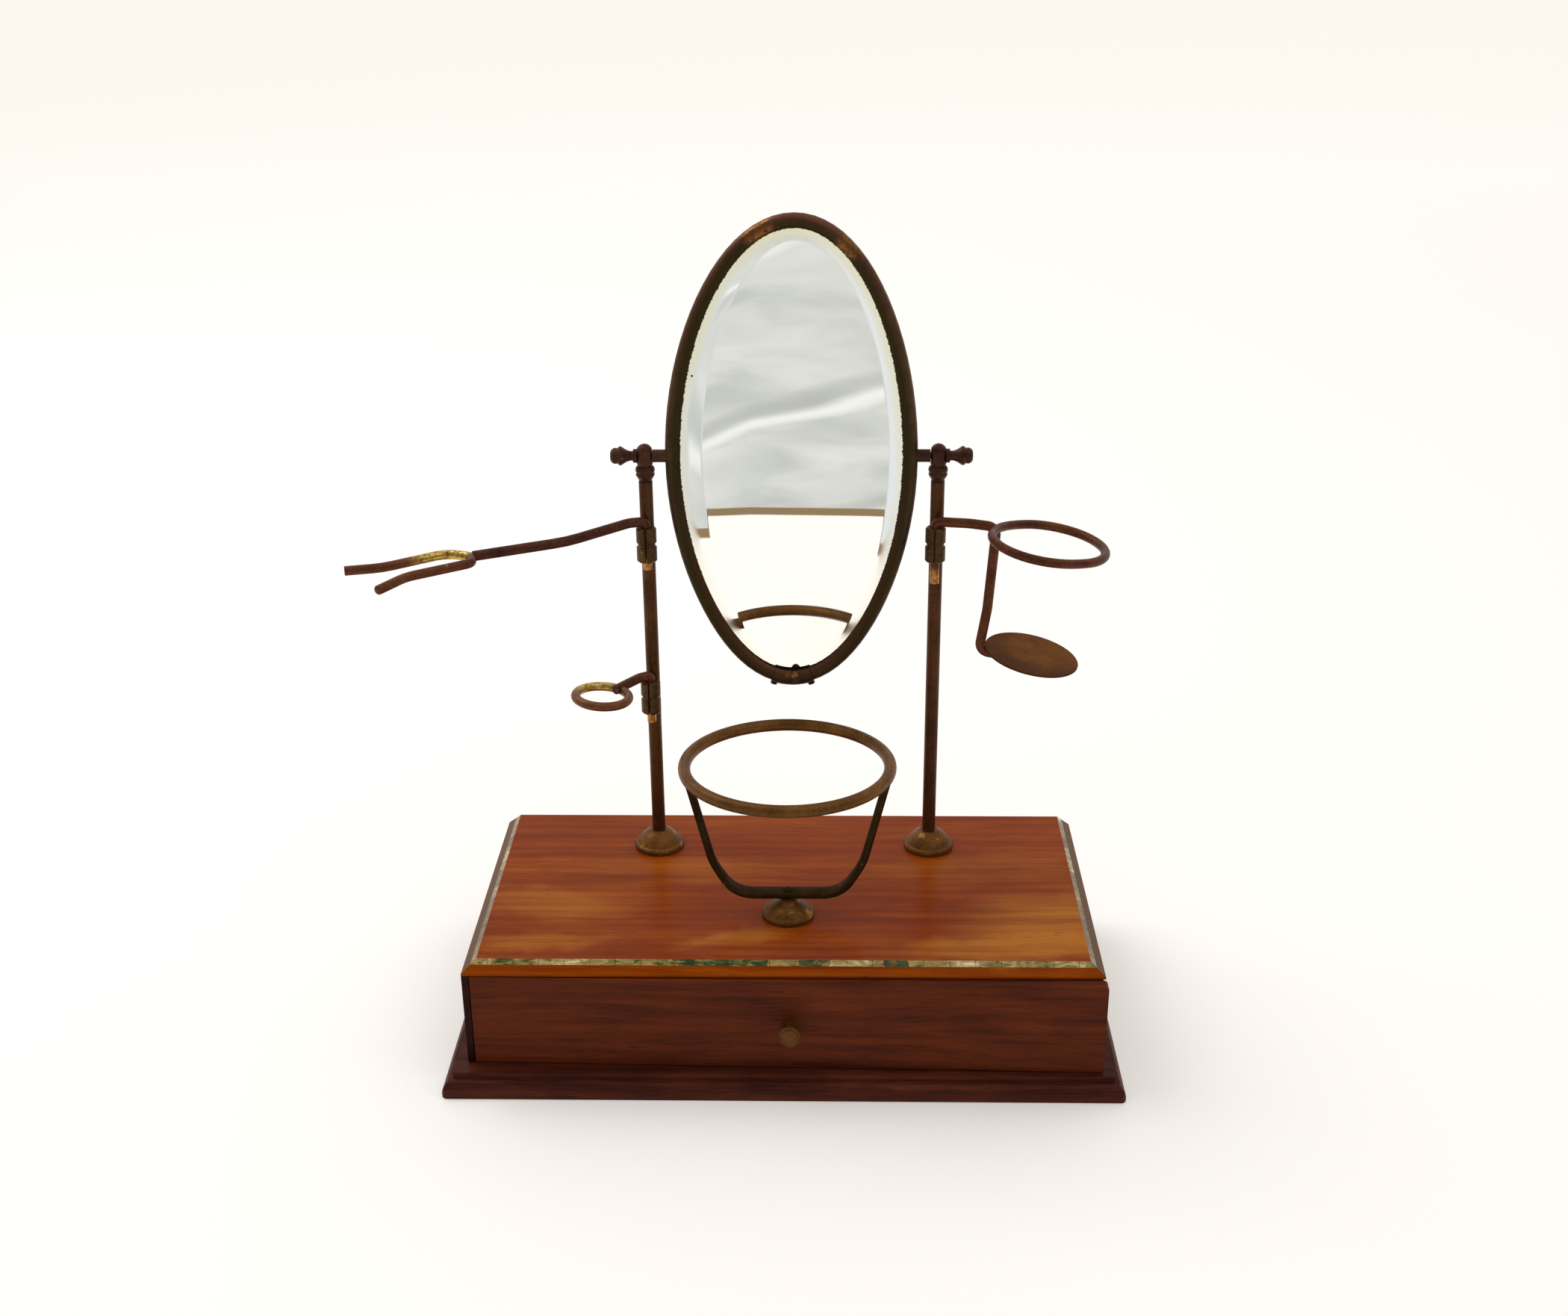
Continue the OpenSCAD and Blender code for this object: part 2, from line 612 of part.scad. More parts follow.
// Pivot pieces are drawn along +X from the centre of a head, outwards.
module at_pivot(s) translate([stand_x + s * post_gap / 2, post_y, pivot_z])
    rotate([0, s > 0 ? 90 : -90, 0]) children();
module washer() translate([0, 0, head_flat]) difference() {
    cylinder(d = washer_d, h = washer_t);
    translate([0, 0, -over]) cylinder(r = bore_r, h = washer_t + 2 * over);
}
module pivot_knob() {
    r = knob_d / 2;
    len_k = knob_len;
    translate([0, 0, head_flat + washer_t + running_fit])
        turned(concat([[0.54 * r, 0], [0.5 * r, 0.6]],
            bow([0.5 * r, 1.2], [0.84 * r, len_k - 6], -0.25),
            bow([0.92 * r, len_k - 5.4], [0.84 * r, len_k - 3.5], 0.5),
            bow([0.8 * r, len_k - 3.2], [0.5 * r, len_k], 0.7)));
    translate([0, 0, -head_flat - boss_gap - spindle_in])
        cylinder(d = spindle_d, h = 2 * head_flat + boss_gap + spindle_in + washer_t + over);
}
module left_washer() color(old_brass) at_pivot(-1) washer();
module right_washer() color(old_brass) at_pivot(1) washer();
module left_pivot_knob() color(old_brass) at_pivot(-1) pivot_knob();
module right_pivot_knob() color(old_brass) at_pivot(1) pivot_knob();

// ---------- Mirror ----------

// A point at angle f round the frame's oval, moved outwards by u and back by v.
function oval_normal(f) = unit([cos(f) / frame_a, 0, sin(f) / frame_b]);
function oval_pinch(f) = (f % 360 + 360) % 360 > 180 ? lower_pinch : upper_pinch;
function oval_point(f, u = 0, v = 0) =
    [frame_a * cos(f) + crown_sway * pow(max(0, sin(f)), 2), v, frame_b * sin(f)]
    + oval_normal(f) * (u - oval_pinch(f) * pow(sin(2 * f), 2));
function oval_ring(inset, y) = [for (i = [0:frame_steps - 1]) oval_point(360 * i / frame_steps, -inset, y)];
module at_mirror() translate([stand_x, post_y, mirror_z]) children();

// Section of the frame: a round tube with a slot on its inner side for the glass.
function slotted_section(r_out, r_in, slot) =
    let (open_out = asin(slot / 2 / r_out), open_in = asin(slot / 2 / r_in), n = 12)
    concat([for (i = [0:n]) let (f = -180 + open_out + (360 - 2 * open_out) * i / n)
               r_out * [cos(f), sin(f)]],
           [for (i = [0:n]) let (f = 180 - open_in - (360 - 2 * open_in) * i / n) r_in * [cos(f), sin(f)]]);
// Sweep of a section round part of the oval, from angle f0 to f1.
module oval_sweep(section, f0, f1, steps) skin([for (i = [0:steps])
    let (f = f0 + (f1 - f0) * i / steps)
    [for (p = section) oval_point(f, p[0], p[1])]], slotted = true);

// Angle round the oval that a length takes at its lowest point.
function low_angle(length) = length / frame_a * 180 / PI;

module mirror_frame() color(old_brass) at_mirror()
    oval_sweep(slotted_section(frame_d / 2, frame_d / 2 - frame_wall, slot_w),
        -90 + low_angle(joint_half_gap), 270 - low_angle(joint_half_gap), frame_steps);
module mirror_glass() color("#c9d3cf") at_mirror() skin([
    oval_ring(glass_inset, glass_back_y),
    oval_ring(glass_inset, glass_back_y - glass_edge_t),
    oval_ring(glass_inset + glass_seat, glass_back_y - glass_edge_t),
    oval_ring(glass_inset + glass_seat + bevel_w, glass_back_y - glass_t)]);
module mirror_backing() color("#3b2a20") at_mirror() skin([
    oval_ring(glass_inset, glass_back_y + seat_clear + backing_t),
    oval_ring(glass_inset, glass_back_y + seat_clear)]);
sleeve_in = frame_d / 2 + 0.05;
module frame_sleeve() color(old_brass) at_mirror()
    oval_sweep(slotted_section(sleeve_in + sleeve_wall, sleeve_in, slot_w + 2),
        -90 - low_angle(sleeve_len / 2), -90 + low_angle(sleeve_len / 2), 8);
// Two small screws from below clamp the sleeve to the ends of the frame.
sleeve_screw_d = 3.4;
module sleeve_screws() color(old_brass) at_mirror()
    for (s = [-1, 1]) let (f = -90 + s * low_angle(0.42 * sleeve_len),
        p = oval_point(f, sleeve_in + sleeve_wall), q = oval_point(f))
        translate(p) rotate([0, atan2(p[0] - q[0], p[2] - q[2]), 0]) {
            cylinder(d = sleeve_screw_d, h = 0.9);
            translate([0, 0, -sleeve_wall]) cylinder(d = 1.6, h = sleeve_wall);
        }
// Small brass stop brazed on the front of the joint: it stands up over the glass's edge.
stop_d = 4.2;
stop_t = 1;
stop_x = 1.5;
module glass_stop() color(worn_brass) at_mirror()
    translate([stop_x, -sleeve_in - sleeve_wall + 0.3, -frame_b]) rotate([90, 0, 0]) hull() {
        cylinder(d = stop_d, h = stop_t);
        translate([0, frame_d / 2 + 0.8 - stop_d / 2, 0]) cylinder(d = stop_d, h = stop_t);
    }
// Boss between the frame and a head, hollowed to sit on the round of the tube.
module boss() translate([0, 0, -post_gap / 2]) difference() {
    translate([0, 0, frame_a]) cylinder(d = boss_d, h = boss_face - frame_a);
    translate([-boss_d, 0, frame_a]) rotate([0, 90, 0]) cylinder(d = frame_d, h = 2 * boss_d);
    translate([0, 0, boss_face - spindle_in - over]) cylinder(r = bore_r, h = spindle_in + 2 * over);
}
module left_boss() color(old_brass) at_pivot(-1) boss();
module right_boss() color(old_brass) at_pivot(1) boss();

// ---------- Hinge lugs ----------

lug_edge = 0.8;
lug_groove_w = 1.3;
lug_groove_d = 0.7;
module lug() difference() {
    r = lug_d / 2;
    mid = lug_h / 2;
    translate([0, 0, -lug_h]) turned([[r - lug_edge, 0], [r, lug_edge],
        [r, mid - lug_groove_w], [r - lug_groove_d, mid - lug_groove_w / 2],
        [r - lug_groove_d, mid + lug_groove_w / 2], [r, mid + lug_groove_w],
        [r, lug_h - lug_edge], [r - lug_edge, lug_h]], pintle_bore_d / 2);
    translate([-lug_slit / 2, -lug_d, -lug_h - over]) cube([lug_slit, lug_d, lug_h + 2 * over]);
    translate([0, lug_reach, -lug_h - over]) cylinder(d = post_d, h = lug_h + 2 * over);
}
// A lug's own place: turned round its post, with the origin on the pintle's axis at the lug's top.
module at_lug(x, z, turn) translate([x, post_y, z]) rotate([0, 0, -turn]) translate([0, -lug_reach, 0])
    children();
module at_pintle(x, z, turn = 0)
    translate([x - lug_reach * sin(turn), post_y - lug_reach * cos(turn), z]) children();
module upper_left_lug() color(old_brass) at_lug(left_x, upper_lug_z, 0) lug();
module lower_left_lug() color(old_brass) at_lug(left_x, lower_lug_z, lower_lug_turn) lug();
module right_lug() color(old_brass) at_lug(right_x, upper_lug_z, right_lug_turn) lug();

// Pintle in a lug: the wire's straight end, down through the lug and past it by a tail.
module pintle(tail) {
    translate([0, 0, -lug_h]) cylinder(d = pintle_d, h = lug_h);
    translate([0, 0, -lug_h - tail]) cylinder(d = tail_d, h = tail);
}
// Points from inside a pintle up to where the arm turns level.
function arm_start() = [[0, 0, -wire_start], [0, 0, arm_rise]];
function heading(f, length) = length * [cos(f), sin(f), 0];

// ---------- Fork ----------

// The arm leaves its pintle turned back a little, comes forward and then straightens.
fork_bend_1 = heading(fork_dir - 20, 7.7);
fork_bend_2 = heading(fork_dir + 6.8, 0.5 * fork_reach);
fork_bends = [pintle_bend, 8, 40];
crotch = heading(fork_dir, fork_reach);
// The prongs are one bent wire, in plan: [distance along the fork, distance to the front].
prong_pts = [[prong_len, -8.8], [prong_len - 16, -4.8], [10, -8.8], [wire_d / 2 - braze, -0.6],
    [wire_d / 2 + braze, 8.2], [prong_len - 22, 11.4], [prong_len - 7, 21]];
prong_bends = [24, 12, 3, 4, 18];
function level(pts, z) = [for (p = pts) [p[0], p[1], z]];

module fork_arm() color(old_brass) at_pintle(left_x, upper_lug_z) {
    pintle(fork_tail);
    wire(rounded_path(concat(arm_start(), level([fork_bend_1, fork_bend_2, crotch], arm_rise)),
        fork_bends), arm_d);
}
module fork_prongs() color(worn_brass) at_pintle(left_x, upper_lug_z + arm_rise)
    translate(crotch) rotate([0, 0, fork_dir - fork_turn])
        wire(rounded_path(level(prong_pts, 0), prong_bends), wire_d, tip = 0.4);

// ---------- Small ring ----------

small_ring_centre = heading(small_ring_dir, small_ring_reach);
small_ring_bend = heading(small_ring_dir - 17, 6);
small_ring_tip = [-2.4, 4.8, 0];
module small_ring_arm() color(old_brass) at_pintle(left_x, lower_lug_z, lower_lug_turn) {
    end = small_ring_centre + unit(small_ring_bend - small_ring_centre) * (small_ring_d / 2 - 0.75 * wire_d);
    pintle(small_ring_tail);
    wire(rounded_path(concat(arm_start(), level([small_ring_bend, end], arm_rise)),
        [pintle_bend, 6]), arm_d);
}
module small_ring() color(worn_brass) at_pintle(left_x, lower_lug_z + arm_rise, lower_lug_turn)
    translate(small_ring_centre) rotate(small_ring_tip)
        rotate_extrude() translate([small_ring_d / 2, 0]) circle(d = wire_d);

// ---------- Tumbler holder ----------

tumbler_r = tumbler_ring_d / 2;
tumbler_centre = [tumbler_x, -tumbler_y, arm_rise - tumbler_sag];
// A point given in the leaning ring's own frame, placed from the pintle.
function leaning(p) = tumbler_centre + [
    p[0] * cos(tumbler_lean) + p[2] * sin(tumbler_lean), p[1],
    p[2] * cos(tumbler_lean) - p[0] * sin(tumbler_lean)];
// One wire: along to the rod, down to the disc and a hook in under it.
disc_shift = 1.2;
disc_tip = [2, 1.8, 0];
hook_z = -disc_drop - disc_t / 2 - arm_d / 2 + 0.9;
rod_top = [leaning([-tumbler_r - 1.8, 0, 0])[0], 7.6 - tumbler_y, arm_rise];
rod_mid = leaning([0.9 - tumbler_r, 3.1, -0.67 * disc_drop]);
rod_foot = leaning([0.6 - tumbler_r, 0.8, hook_z]);
hook_end = leaning([8 - disc_d / 2, 0, hook_z]);
rod_bends = [pintle_bend, 20, 4.2, 30, 4.5];
// The ring: a circle drawn out on one side, where it lies against the rod.
draw_dir = 210;
ring_steps = 60;
function ring_point(f) = (tumbler_r + tumbler_draw * pow(max(0, cos(f - draw_dir)), 1.6)) * heading(f, 1);
ring_path = [for (i = [0:ring_steps - 1]) let (f = 360 * i / ring_steps)
    [ring_point(f), unit(ring_point(f + 1) - ring_point(f - 1))]];

module tumbler_arm() color(old_brass) at_pintle(right_x, upper_lug_z, right_lug_turn) {
    pintle(tumbler_tail);
    wire(rounded_path(concat(arm_start(), [[15.5, -2.4, arm_rise], rod_top, rod_mid, rod_foot, hook_end]),
        rod_bends), arm_d);
}
module in_tumbler() at_pintle(right_x, upper_lug_z, right_lug_turn) translate(tumbler_centre)
    rotate([0, tumbler_lean, 0]) children();
module tumbler_ring() color(old_brass) in_tumbler()
    skin([for (q = ring_path)
        let (out = cross(q[1], [0, 0, 1]))
        [for (j = [0:13]) q[0] + (out * cos(j * 360 / 14) + [0, 0, sin(j * 360 / 14)]) * wire_d / 2]],
        closed = true);
module tumbler_disc() color(old_brass) in_tumbler() translate([disc_shift, 0, -disc_drop]) rotate(disc_tip)
    translate([0, 0, -disc_t / 2])
        turned([[disc_d / 2 - 0.3, 0], [disc_d / 2, 0.3],
            [disc_d / 2, disc_t - 0.3], [disc_d / 2 - 0.3, disc_t]]);

// ---------- Bowl stand ----------

module at_bowl(z) translate([bowl_x, -bowl_y, z]) children();
module bowl_foot() color(worn_brass) at_bowl(top_z) turned(concat(
    foot_profile(bowl_foot_h, bowl_neck_d / 2 + 0.4),
    [[bowl_neck_d / 2, bowl_foot_h + 0.4], [bowl_neck_d / 2 - 0.6, (bowl_foot_h + bowl_neck_h) / 2],
     [bowl_neck_d / 2, bowl_neck_h]]), bowl_bolt_d / 2);

// Half of the yoke, from the middle of its bar up to the ring.
ring_r = bowl_ring_d / 2;
arm_top = bowl_ring_rise - bowl_rod_d / 2 + braze;
bar_mid = bowl_neck_h + yoke_bar_t / 2;
half_yoke = rounded_path([[0, 0, bar_mid], [0.535 * ring_r, 0, bar_mid],
    [0.75 * ring_r, 0, bar_mid + 17], [ring_r, 0, arm_top]], [16, 30], 8);
// Flatness of the bar at a height: 1 on the bar, 0 from the arms upwards.
function flatness(z) = max(0, min(1, 1 - (z - bar_mid - 1) / 30));
function yoke_ring(p, t) =
    let (k = flatness(p[2]), w = yoke_arm_d + (yoke_bar_w - yoke_arm_d) * k,
         h = yoke_arm_d + (yoke_bar_t - yoke_arm_d) * k, e = 1 - 0.5 * k, n = [-t[2], 0, t[0]])
    [for (j = [0:15]) let (c = cos(j * 22.5), s = sin(j * 22.5))
        p + [0, 1, 0] * w / 2 * sign(c) * pow(abs(c), e) - n * h / 2 * sign(s) * pow(abs(s), e)];
function mirrored(v) = [-v[0], v[1], v[2]];
module bowl_yoke() color(old_brass) at_bowl(top_z) difference() {
    skin(concat(
        [for (i = [len(half_yoke) - 1:-1:1])
            yoke_ring(mirrored(half_yoke[i][0]), [half_yoke[i][1][0], 0, -half_yoke[i][1][2]])],
        [for (q = half_yoke) yoke_ring(q[0], q[1])]));
    cylinder(d = bowl_bolt_d, h = bar_mid + yoke_bar_t);
}
module bowl_ring() color(old_brass) at_bowl(bowl_ring_z) rotate([-bowl_ring_lean, 0, 0])
    rotate_extrude() translate([ring_r, 0]) circle(d = bowl_rod_d);
bolt_head_d = 4.4;
bolt_head_h = 1.1;
nut_h = 2.4;
bolt_end = 0.6;
module bowl_bolt() color(old_brass) at_bowl(0) {
    translate([0, 0, case_top_z - nut_h - bolt_end])
        cylinder(d = bowl_bolt_d, h = bolt_end + nut_h + top_t + bowl_neck_h + yoke_bar_t);
    translate([0, 0, bar_z + yoke_bar_t]) turned(bow([bolt_head_d / 2, 0], [0.9, bolt_head_h], 0.3));
}
module bowl_nut() color(steel) at_bowl(case_top_z - nut_h) difference() {
    cylinder(d = screw_head_d, h = nut_h, $fn = 6);
    translate([0, 0, -over]) cylinder(d = bowl_bolt_d, h = nut_h + 2 * over);
}

plinth();
left_side();
right_side();
back_board();
top_board();
inlay_front();
inlay_left();
inlay_right();
plinth_screws();
drawer_front();
drawer_left_side();
drawer_right_side();
drawer_back();
drawer_floor();
drawer_knob();
left_foot();
right_foot();
left_post();
right_post();
post_screws();
left_post_head();
right_post_head();
left_washer();
right_washer();
left_pivot_knob();
right_pivot_knob();
left_boss();
right_boss();
mirror_frame();
mirror_glass();
mirror_backing();
frame_sleeve();
sleeve_screws();
glass_stop();
upper_left_lug();
lower_left_lug();
right_lug();
fork_arm();
fork_prongs();
small_ring_arm();
small_ring();
tumbler_arm();
tumbler_ring();
tumbler_disc();
bowl_foot();
bowl_yoke();
bowl_ring();
bowl_bolt();
bowl_nut();
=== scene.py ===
# %% [markdown]
# # A Victorian shaving stand
#
# The stand is a low box of dark rosewood with one drawer and a lighter, polished top board edged
# with shell. Two thin brass posts rise from it and carry an oval looking-glass, a brush fork, a
# small ring and a tumbler holder, and a ring on a yoke holds the shaving bowl. The shapes come
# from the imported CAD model. This script gives them their finishes, and adds what CAD leaves out.

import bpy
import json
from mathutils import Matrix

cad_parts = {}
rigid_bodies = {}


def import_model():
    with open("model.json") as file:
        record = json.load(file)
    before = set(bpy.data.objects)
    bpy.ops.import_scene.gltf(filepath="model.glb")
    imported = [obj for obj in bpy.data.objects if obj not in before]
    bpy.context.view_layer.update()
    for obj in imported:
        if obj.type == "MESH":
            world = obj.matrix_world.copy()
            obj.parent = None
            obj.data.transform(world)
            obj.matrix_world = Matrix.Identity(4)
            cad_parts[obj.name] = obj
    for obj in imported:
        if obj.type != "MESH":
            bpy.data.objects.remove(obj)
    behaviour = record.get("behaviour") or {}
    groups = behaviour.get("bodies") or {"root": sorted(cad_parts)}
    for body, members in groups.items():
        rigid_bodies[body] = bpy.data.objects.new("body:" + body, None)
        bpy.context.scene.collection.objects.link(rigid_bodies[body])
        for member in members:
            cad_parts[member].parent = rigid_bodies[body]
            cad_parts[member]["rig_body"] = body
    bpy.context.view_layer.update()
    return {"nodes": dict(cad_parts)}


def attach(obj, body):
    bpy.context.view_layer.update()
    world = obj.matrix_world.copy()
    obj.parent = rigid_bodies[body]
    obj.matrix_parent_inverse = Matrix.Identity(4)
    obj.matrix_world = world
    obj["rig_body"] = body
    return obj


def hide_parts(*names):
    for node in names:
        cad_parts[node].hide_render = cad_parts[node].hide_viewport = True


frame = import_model()
nodes = frame["nodes"]

# %% [markdown]
# ## Units and tools
#
# Blender works in metres, and the stand was drawn in millimetres, so one constant converts. A finish
# starts from a colour, written as an sRGB hex value. Blender's shaders need linear values, so one
# function converts these too.

# %% Units, colours and names
import json
import math

import bmesh
import bpy
from mathutils import Matrix, Vector

MM = 0.001


def linear(hex_colour):
    """Linear RGBA of an sRGB hex colour."""
    channels = [int(hex_colour[i:i + 2], 16) / 255 for i in (1, 3, 5)]
    return (*(c / 12.92 if c <= 0.04045 else ((c + 0.055) / 1.055) ** 2.4 for c in channels), 1)


# %% [markdown]
# ## Camera
#
# The picture is taken from a little over half a metre above the table and 0.8 m in front, looking
# down at the mirror. A camera can be aimed with a constraint, but that hides the numbers, so
# here yaw, pitch and roll are turned into the three axes of its matrix.

# %% Camera
CAMERA_PLACE = Vector((19.6, -794.3, 539.0)) * MM
YAW, PITCH, ROLL = (math.radians(a) for a in (-1.383, 23.689, -0.473))
FOCAL_LENGTH, SENSOR_WIDTH = 42.84, 36
forward = Vector((math.sin(YAW) * math.cos(PITCH), math.cos(YAW) * math.cos(PITCH), -math.sin(PITCH)))
level_right = Vector((math.cos(YAW), -math.sin(YAW), 0))
level_up = level_right.cross(forward)
right = level_right * math.cos(ROLL) + level_up * math.sin(ROLL)
up = level_up * math.cos(ROLL) - level_right * math.sin(ROLL)

camera = bpy.data.objects.new("camera", bpy.data.cameras.new("camera"))
camera.matrix_world = Matrix((right, up, -forward)).transposed().to_4x4()
camera.location = CAMERA_PLACE
camera.data.sensor_fit = "HORIZONTAL"
camera.data.sensor_width = SENSOR_WIDTH
camera.data.lens = FOCAL_LENGTH
camera.data.clip_start, camera.data.clip_end = 0.02, 60
bpy.context.scene.collection.objects.link(camera)
bpy.context.scene.camera = camera
print("camera looks along", [round(v, 3) for v in forward])

# %% [markdown]
# ## Nodes
#
# Every finish is a small tree of nodes. One function adds a node: its settings come by name, and
# each input is either filled with a value or linked to another node's output. Two more put
# patterns together: one adds them up by weight, and the other lays colours over each other.

# %% Adding and joining nodes
def add(tree, kind, inputs=None, stops=(), **settings):
    """Adds a ShaderNode of this kind and returns its outputs. stops fills a colour ramp with
    (place, hex colour)."""
    made = tree.nodes.new("ShaderNode" + kind)
    for name, value in settings.items():
        setattr(made, name, value)
    if stops:
        ramp = made.color_ramp.elements
        ramp.remove(ramp[1])
        ramp[0].position, ramp[0].color = stops[0][0], linear(stops[0][1])
        for place, colour in stops[1:]:
            ramp.new(place).color = linear(colour)
    for name, value in (inputs or {}).items():
        if isinstance(value, bpy.types.NodeSocket):
            tree.links.new(value, made.inputs[name])
        else:
            made.inputs[name].default_value = value
    return made.outputs


def weighted(tree, *parts):
    """The sum of (pattern, weight) pairs. A weight is a number or a mask."""
    total = 0.0
    for pattern, weight in parts:
        total = add(tree, "Math", {0: pattern, 1: weight, 2: total}, operation="MULTIPLY_ADD")[0]
    return total


def painted(tree, colour, *layers):
    """A colour with (mask, colour) layers over it. A colour is a hex value or an output."""
    for mask, over in layers:
        under, top = (linear(c) if isinstance(c, str) else c for c in (colour, over))
        colour = add(tree, "Mix", {0: mask, 6: under, 7: top}, data_type="RGBA")[2]
    return colour


def finish(name, **fixed):
    """A new material, its tree and its Principled shader with fixed values set on the shader."""
    made = bpy.data.materials.new(name)
    made.use_nodes = True
    shader = made.node_tree.nodes["Principled BSDF"]
    for socket, value in fixed.items():
        shader.inputs[socket.replace("_", " ")].default_value = value
    return made, made.node_tree, shader


def coat_with(material, *names):
    """Gives CAD nodes or pieces this material."""
    for name in names:
        target = nodes.get(name) or bpy.data.objects[name]
        for slot in target.material_slots:
            slot.material = material
    print(material.name, "->", ", ".join(names))


# %% [markdown]
# ## Studio
#
# A pale floor and soft light keep the eye on the stand. The light is mostly the sky of the world,
# stronger behind the stand than in front of it, as in a room with the window at the back. Two
# large lamps hang high up, one at the back on the left and one in front on the right. Floor and
# sky together light the stand at a plain level: a white card would come out just below white.

# %% World
world = bpy.data.worlds.new("soft_room")
world.use_nodes = True
bpy.context.scene.world = world
sky = world.node_tree
sky.nodes.clear()
ray = add(sky, "LightPath")
towards = add(sky, "SeparateXYZ", {0: add(sky, "TexCoord")["Generated"]})
back_light = add(sky, "MapRange", {
    "Value": towards["Y"], "From Min": -0.5, "From Max": 0.6, "To Min": 0.42, "To Max": 0.98},
    interpolation_type="SMOOTHSTEP")
lit = add(sky, "Background", {"Color": linear("#fbfaf8"), "Strength": back_light[0]})
seen = add(sky, "Background", {"Color": linear("#f8f6f3"), "Strength": 1})
both = add(sky, "MixShader", {0: ray["Is Camera Ray"], 1: lit[0], 2: seen[0]})
add(sky, "OutputWorld", {"Surface": both[0]})
print("world ready")

# %% [markdown]
# The floor is one large sheet. The camera sees it a little lighter than the lamps alone would make
# it, and lighter still far off, where a real room has a pale wall. The looking-glass shows the
# other side of the room. There the table ends in a narrow wooden edge, so the floor has that edge
# for glossy rays, and lets them through past it.

# %% Floor
FLOOR_SIZE = 24
TABLE_EDGE_Y, TABLE_EDGE_W = -0.621, 0.018

floor_finish, tree, shader = finish("pale_floor", Roughness=0.9, Specular_IOR_Level=0.05)
ray = add(tree, "LightPath")
depth = add(tree, "SeparateXYZ", {0: add(tree, "NewGeometry")["Position"]})["Y"]
lift = add(tree, "MapRange", {
    "Value": depth, "From Min": 0.2, "From Max": 2.5, "To Min": 0.21, "To Max": 0.38})[0]
halo = weighted(tree, (ray["Is Glossy Ray"], 0.3), (ray["Is Camera Ray"], lift))
from_edge_on = add(tree, "Math", {0: depth, 1: TABLE_EDGE_Y}, operation="LESS_THAN")[0]
wooden = weighted(tree, (from_edge_on, ray["Is Glossy Ray"]))
strength = add(tree, "Math", {0: halo, 1: wooden}, operation="MAXIMUM")[0]
tree.links.new(painted(tree, "#f4f2f0", (wooden, "#000000")), shader.inputs["Base Color"])
tree.links.new(painted(tree, "#fff4ea", (wooden, "#987f5c")), shader.inputs["Emission Color"])
tree.links.new(strength, shader.inputs["Emission Strength"])
past_edge = add(tree, "Math", {0: depth, 1: TABLE_EDGE_Y - TABLE_EDGE_W}, operation="LESS_THAN")[0]
opened = weighted(tree, (past_edge, ray["Is Glossy Ray"]))
surface = add(tree, "MixShader", {
    0: opened, 1: shader.outputs["BSDF"], 2: add(tree, "BsdfTransparent")[0]})[0]
tree.links.new(surface, tree.nodes["Material Output"].inputs["Surface"])

bpy.ops.mesh.primitive_plane_add(size=FLOOR_SIZE)
floor = bpy.context.object
floor.name = "floor"
floor.data.materials.append(floor_finish)
print("floor:", FLOOR_SIZE, "m wide")

# %% [markdown]
# Past the table hangs a pale, creased cloth. It is a flat sheet with its creases drawn in colour as
# painted highlights and painted shadows, and it is painted greyer low down as shade.
# Real folds would be truer, but nobody sees it except in the looking-glass and, blurred, in the
# brass. It hangs far off, so that the flat glass and the bevel show it at nearly one scale, and
# only glossy rays see it, so that it lights nothing.

# %% Backdrop behind the camera
BACKDROP_Y, BACKDROP_SIZE = -20, 48
CREASE_SLANT = 0.85
CREASE_PLACE, CREASE_SCALE = (-0.481, 0.411, 0), (0.431, 1.149, 1)

backdrop_finish, tree, shader = finish(
    "creased_linen", Base_Color=(0, 0, 0, 1), Roughness=0.9, Specular_IOR_Level=0.05,
    Emission_Strength=1)
spot = add(tree, "SeparateXYZ", {0: add(tree, "NewGeometry")["Position"]})
below = weighted(tree, (spot["Z"], -1))
crease_place = add(tree, "Mapping", {
    "Vector": add(tree, "CombineXYZ", {0: spot["X"], 1: below})[0], "Location": CREASE_PLACE,
    "Rotation": (0, 0, CREASE_SLANT), "Scale": CREASE_SCALE})[0]
wrinkles = add(tree, "TexNoise", {
    "Vector": crease_place, "Scale": 2.2, "Detail": 5, "Distortion": 0.6})[0]
cloth = add(tree, "ValToRGB", {0: wrinkles}, stops=[
    (0.32, "#cdceca"), (0.5, "#dedfda"), (0.68, "#eaebe6")])[0]
clouds = add(tree, "TexNoise", {"Vector": crease_place, "Scale": 0.8, "Detail": 1})[0]
here_and_there = add(tree, "MapRange", {"Value": clouds, "From Min": 0.32, "From Max": 0.5})[0]
# painted light: each crease is a painted highlight, with a painted shadow beside it
for offset, least, tint, most in ((0.0, 0.965, "#fcfdf8", 0.9), (0.6, 0.93, "#b4b5b1", 0.55)):
    fold = add(tree, "TexWave", {
        "Vector": crease_place, "Scale": 0.3, "Distortion": 6, "Detail": 3, "Detail Scale": 0.8,
        "Phase Offset": offset}, bands_direction="Y")["Fac"]
    sharp = add(tree, "MapRange", {"Value": fold, "From Min": least, "To Max": most})[0]
    cloth = painted(tree, cloth, (weighted(tree, (sharp, here_and_there)), tint))
# painted shade: the cloth is painted greyer further down
low = add(tree, "MapRange", {"Value": below, "From Min": 6.34, "From Max": 8.85, "To Max": 0.2})[0]
aside = add(tree, "Math", {0: spot["X"]}, operation="ABSOLUTE")[0]
wide = add(tree, "MapRange", {"Value": aside, "From Min": 1.74, "From Max": 4.0, "To Max": 0.8})[0]
tree.links.new(painted(tree, cloth, (low, "#c3c6c6"), (wide, "#eef0f4")),
               shader.inputs["Emission Color"])
backdrop_finish.cycles.emission_sampling = "NONE"

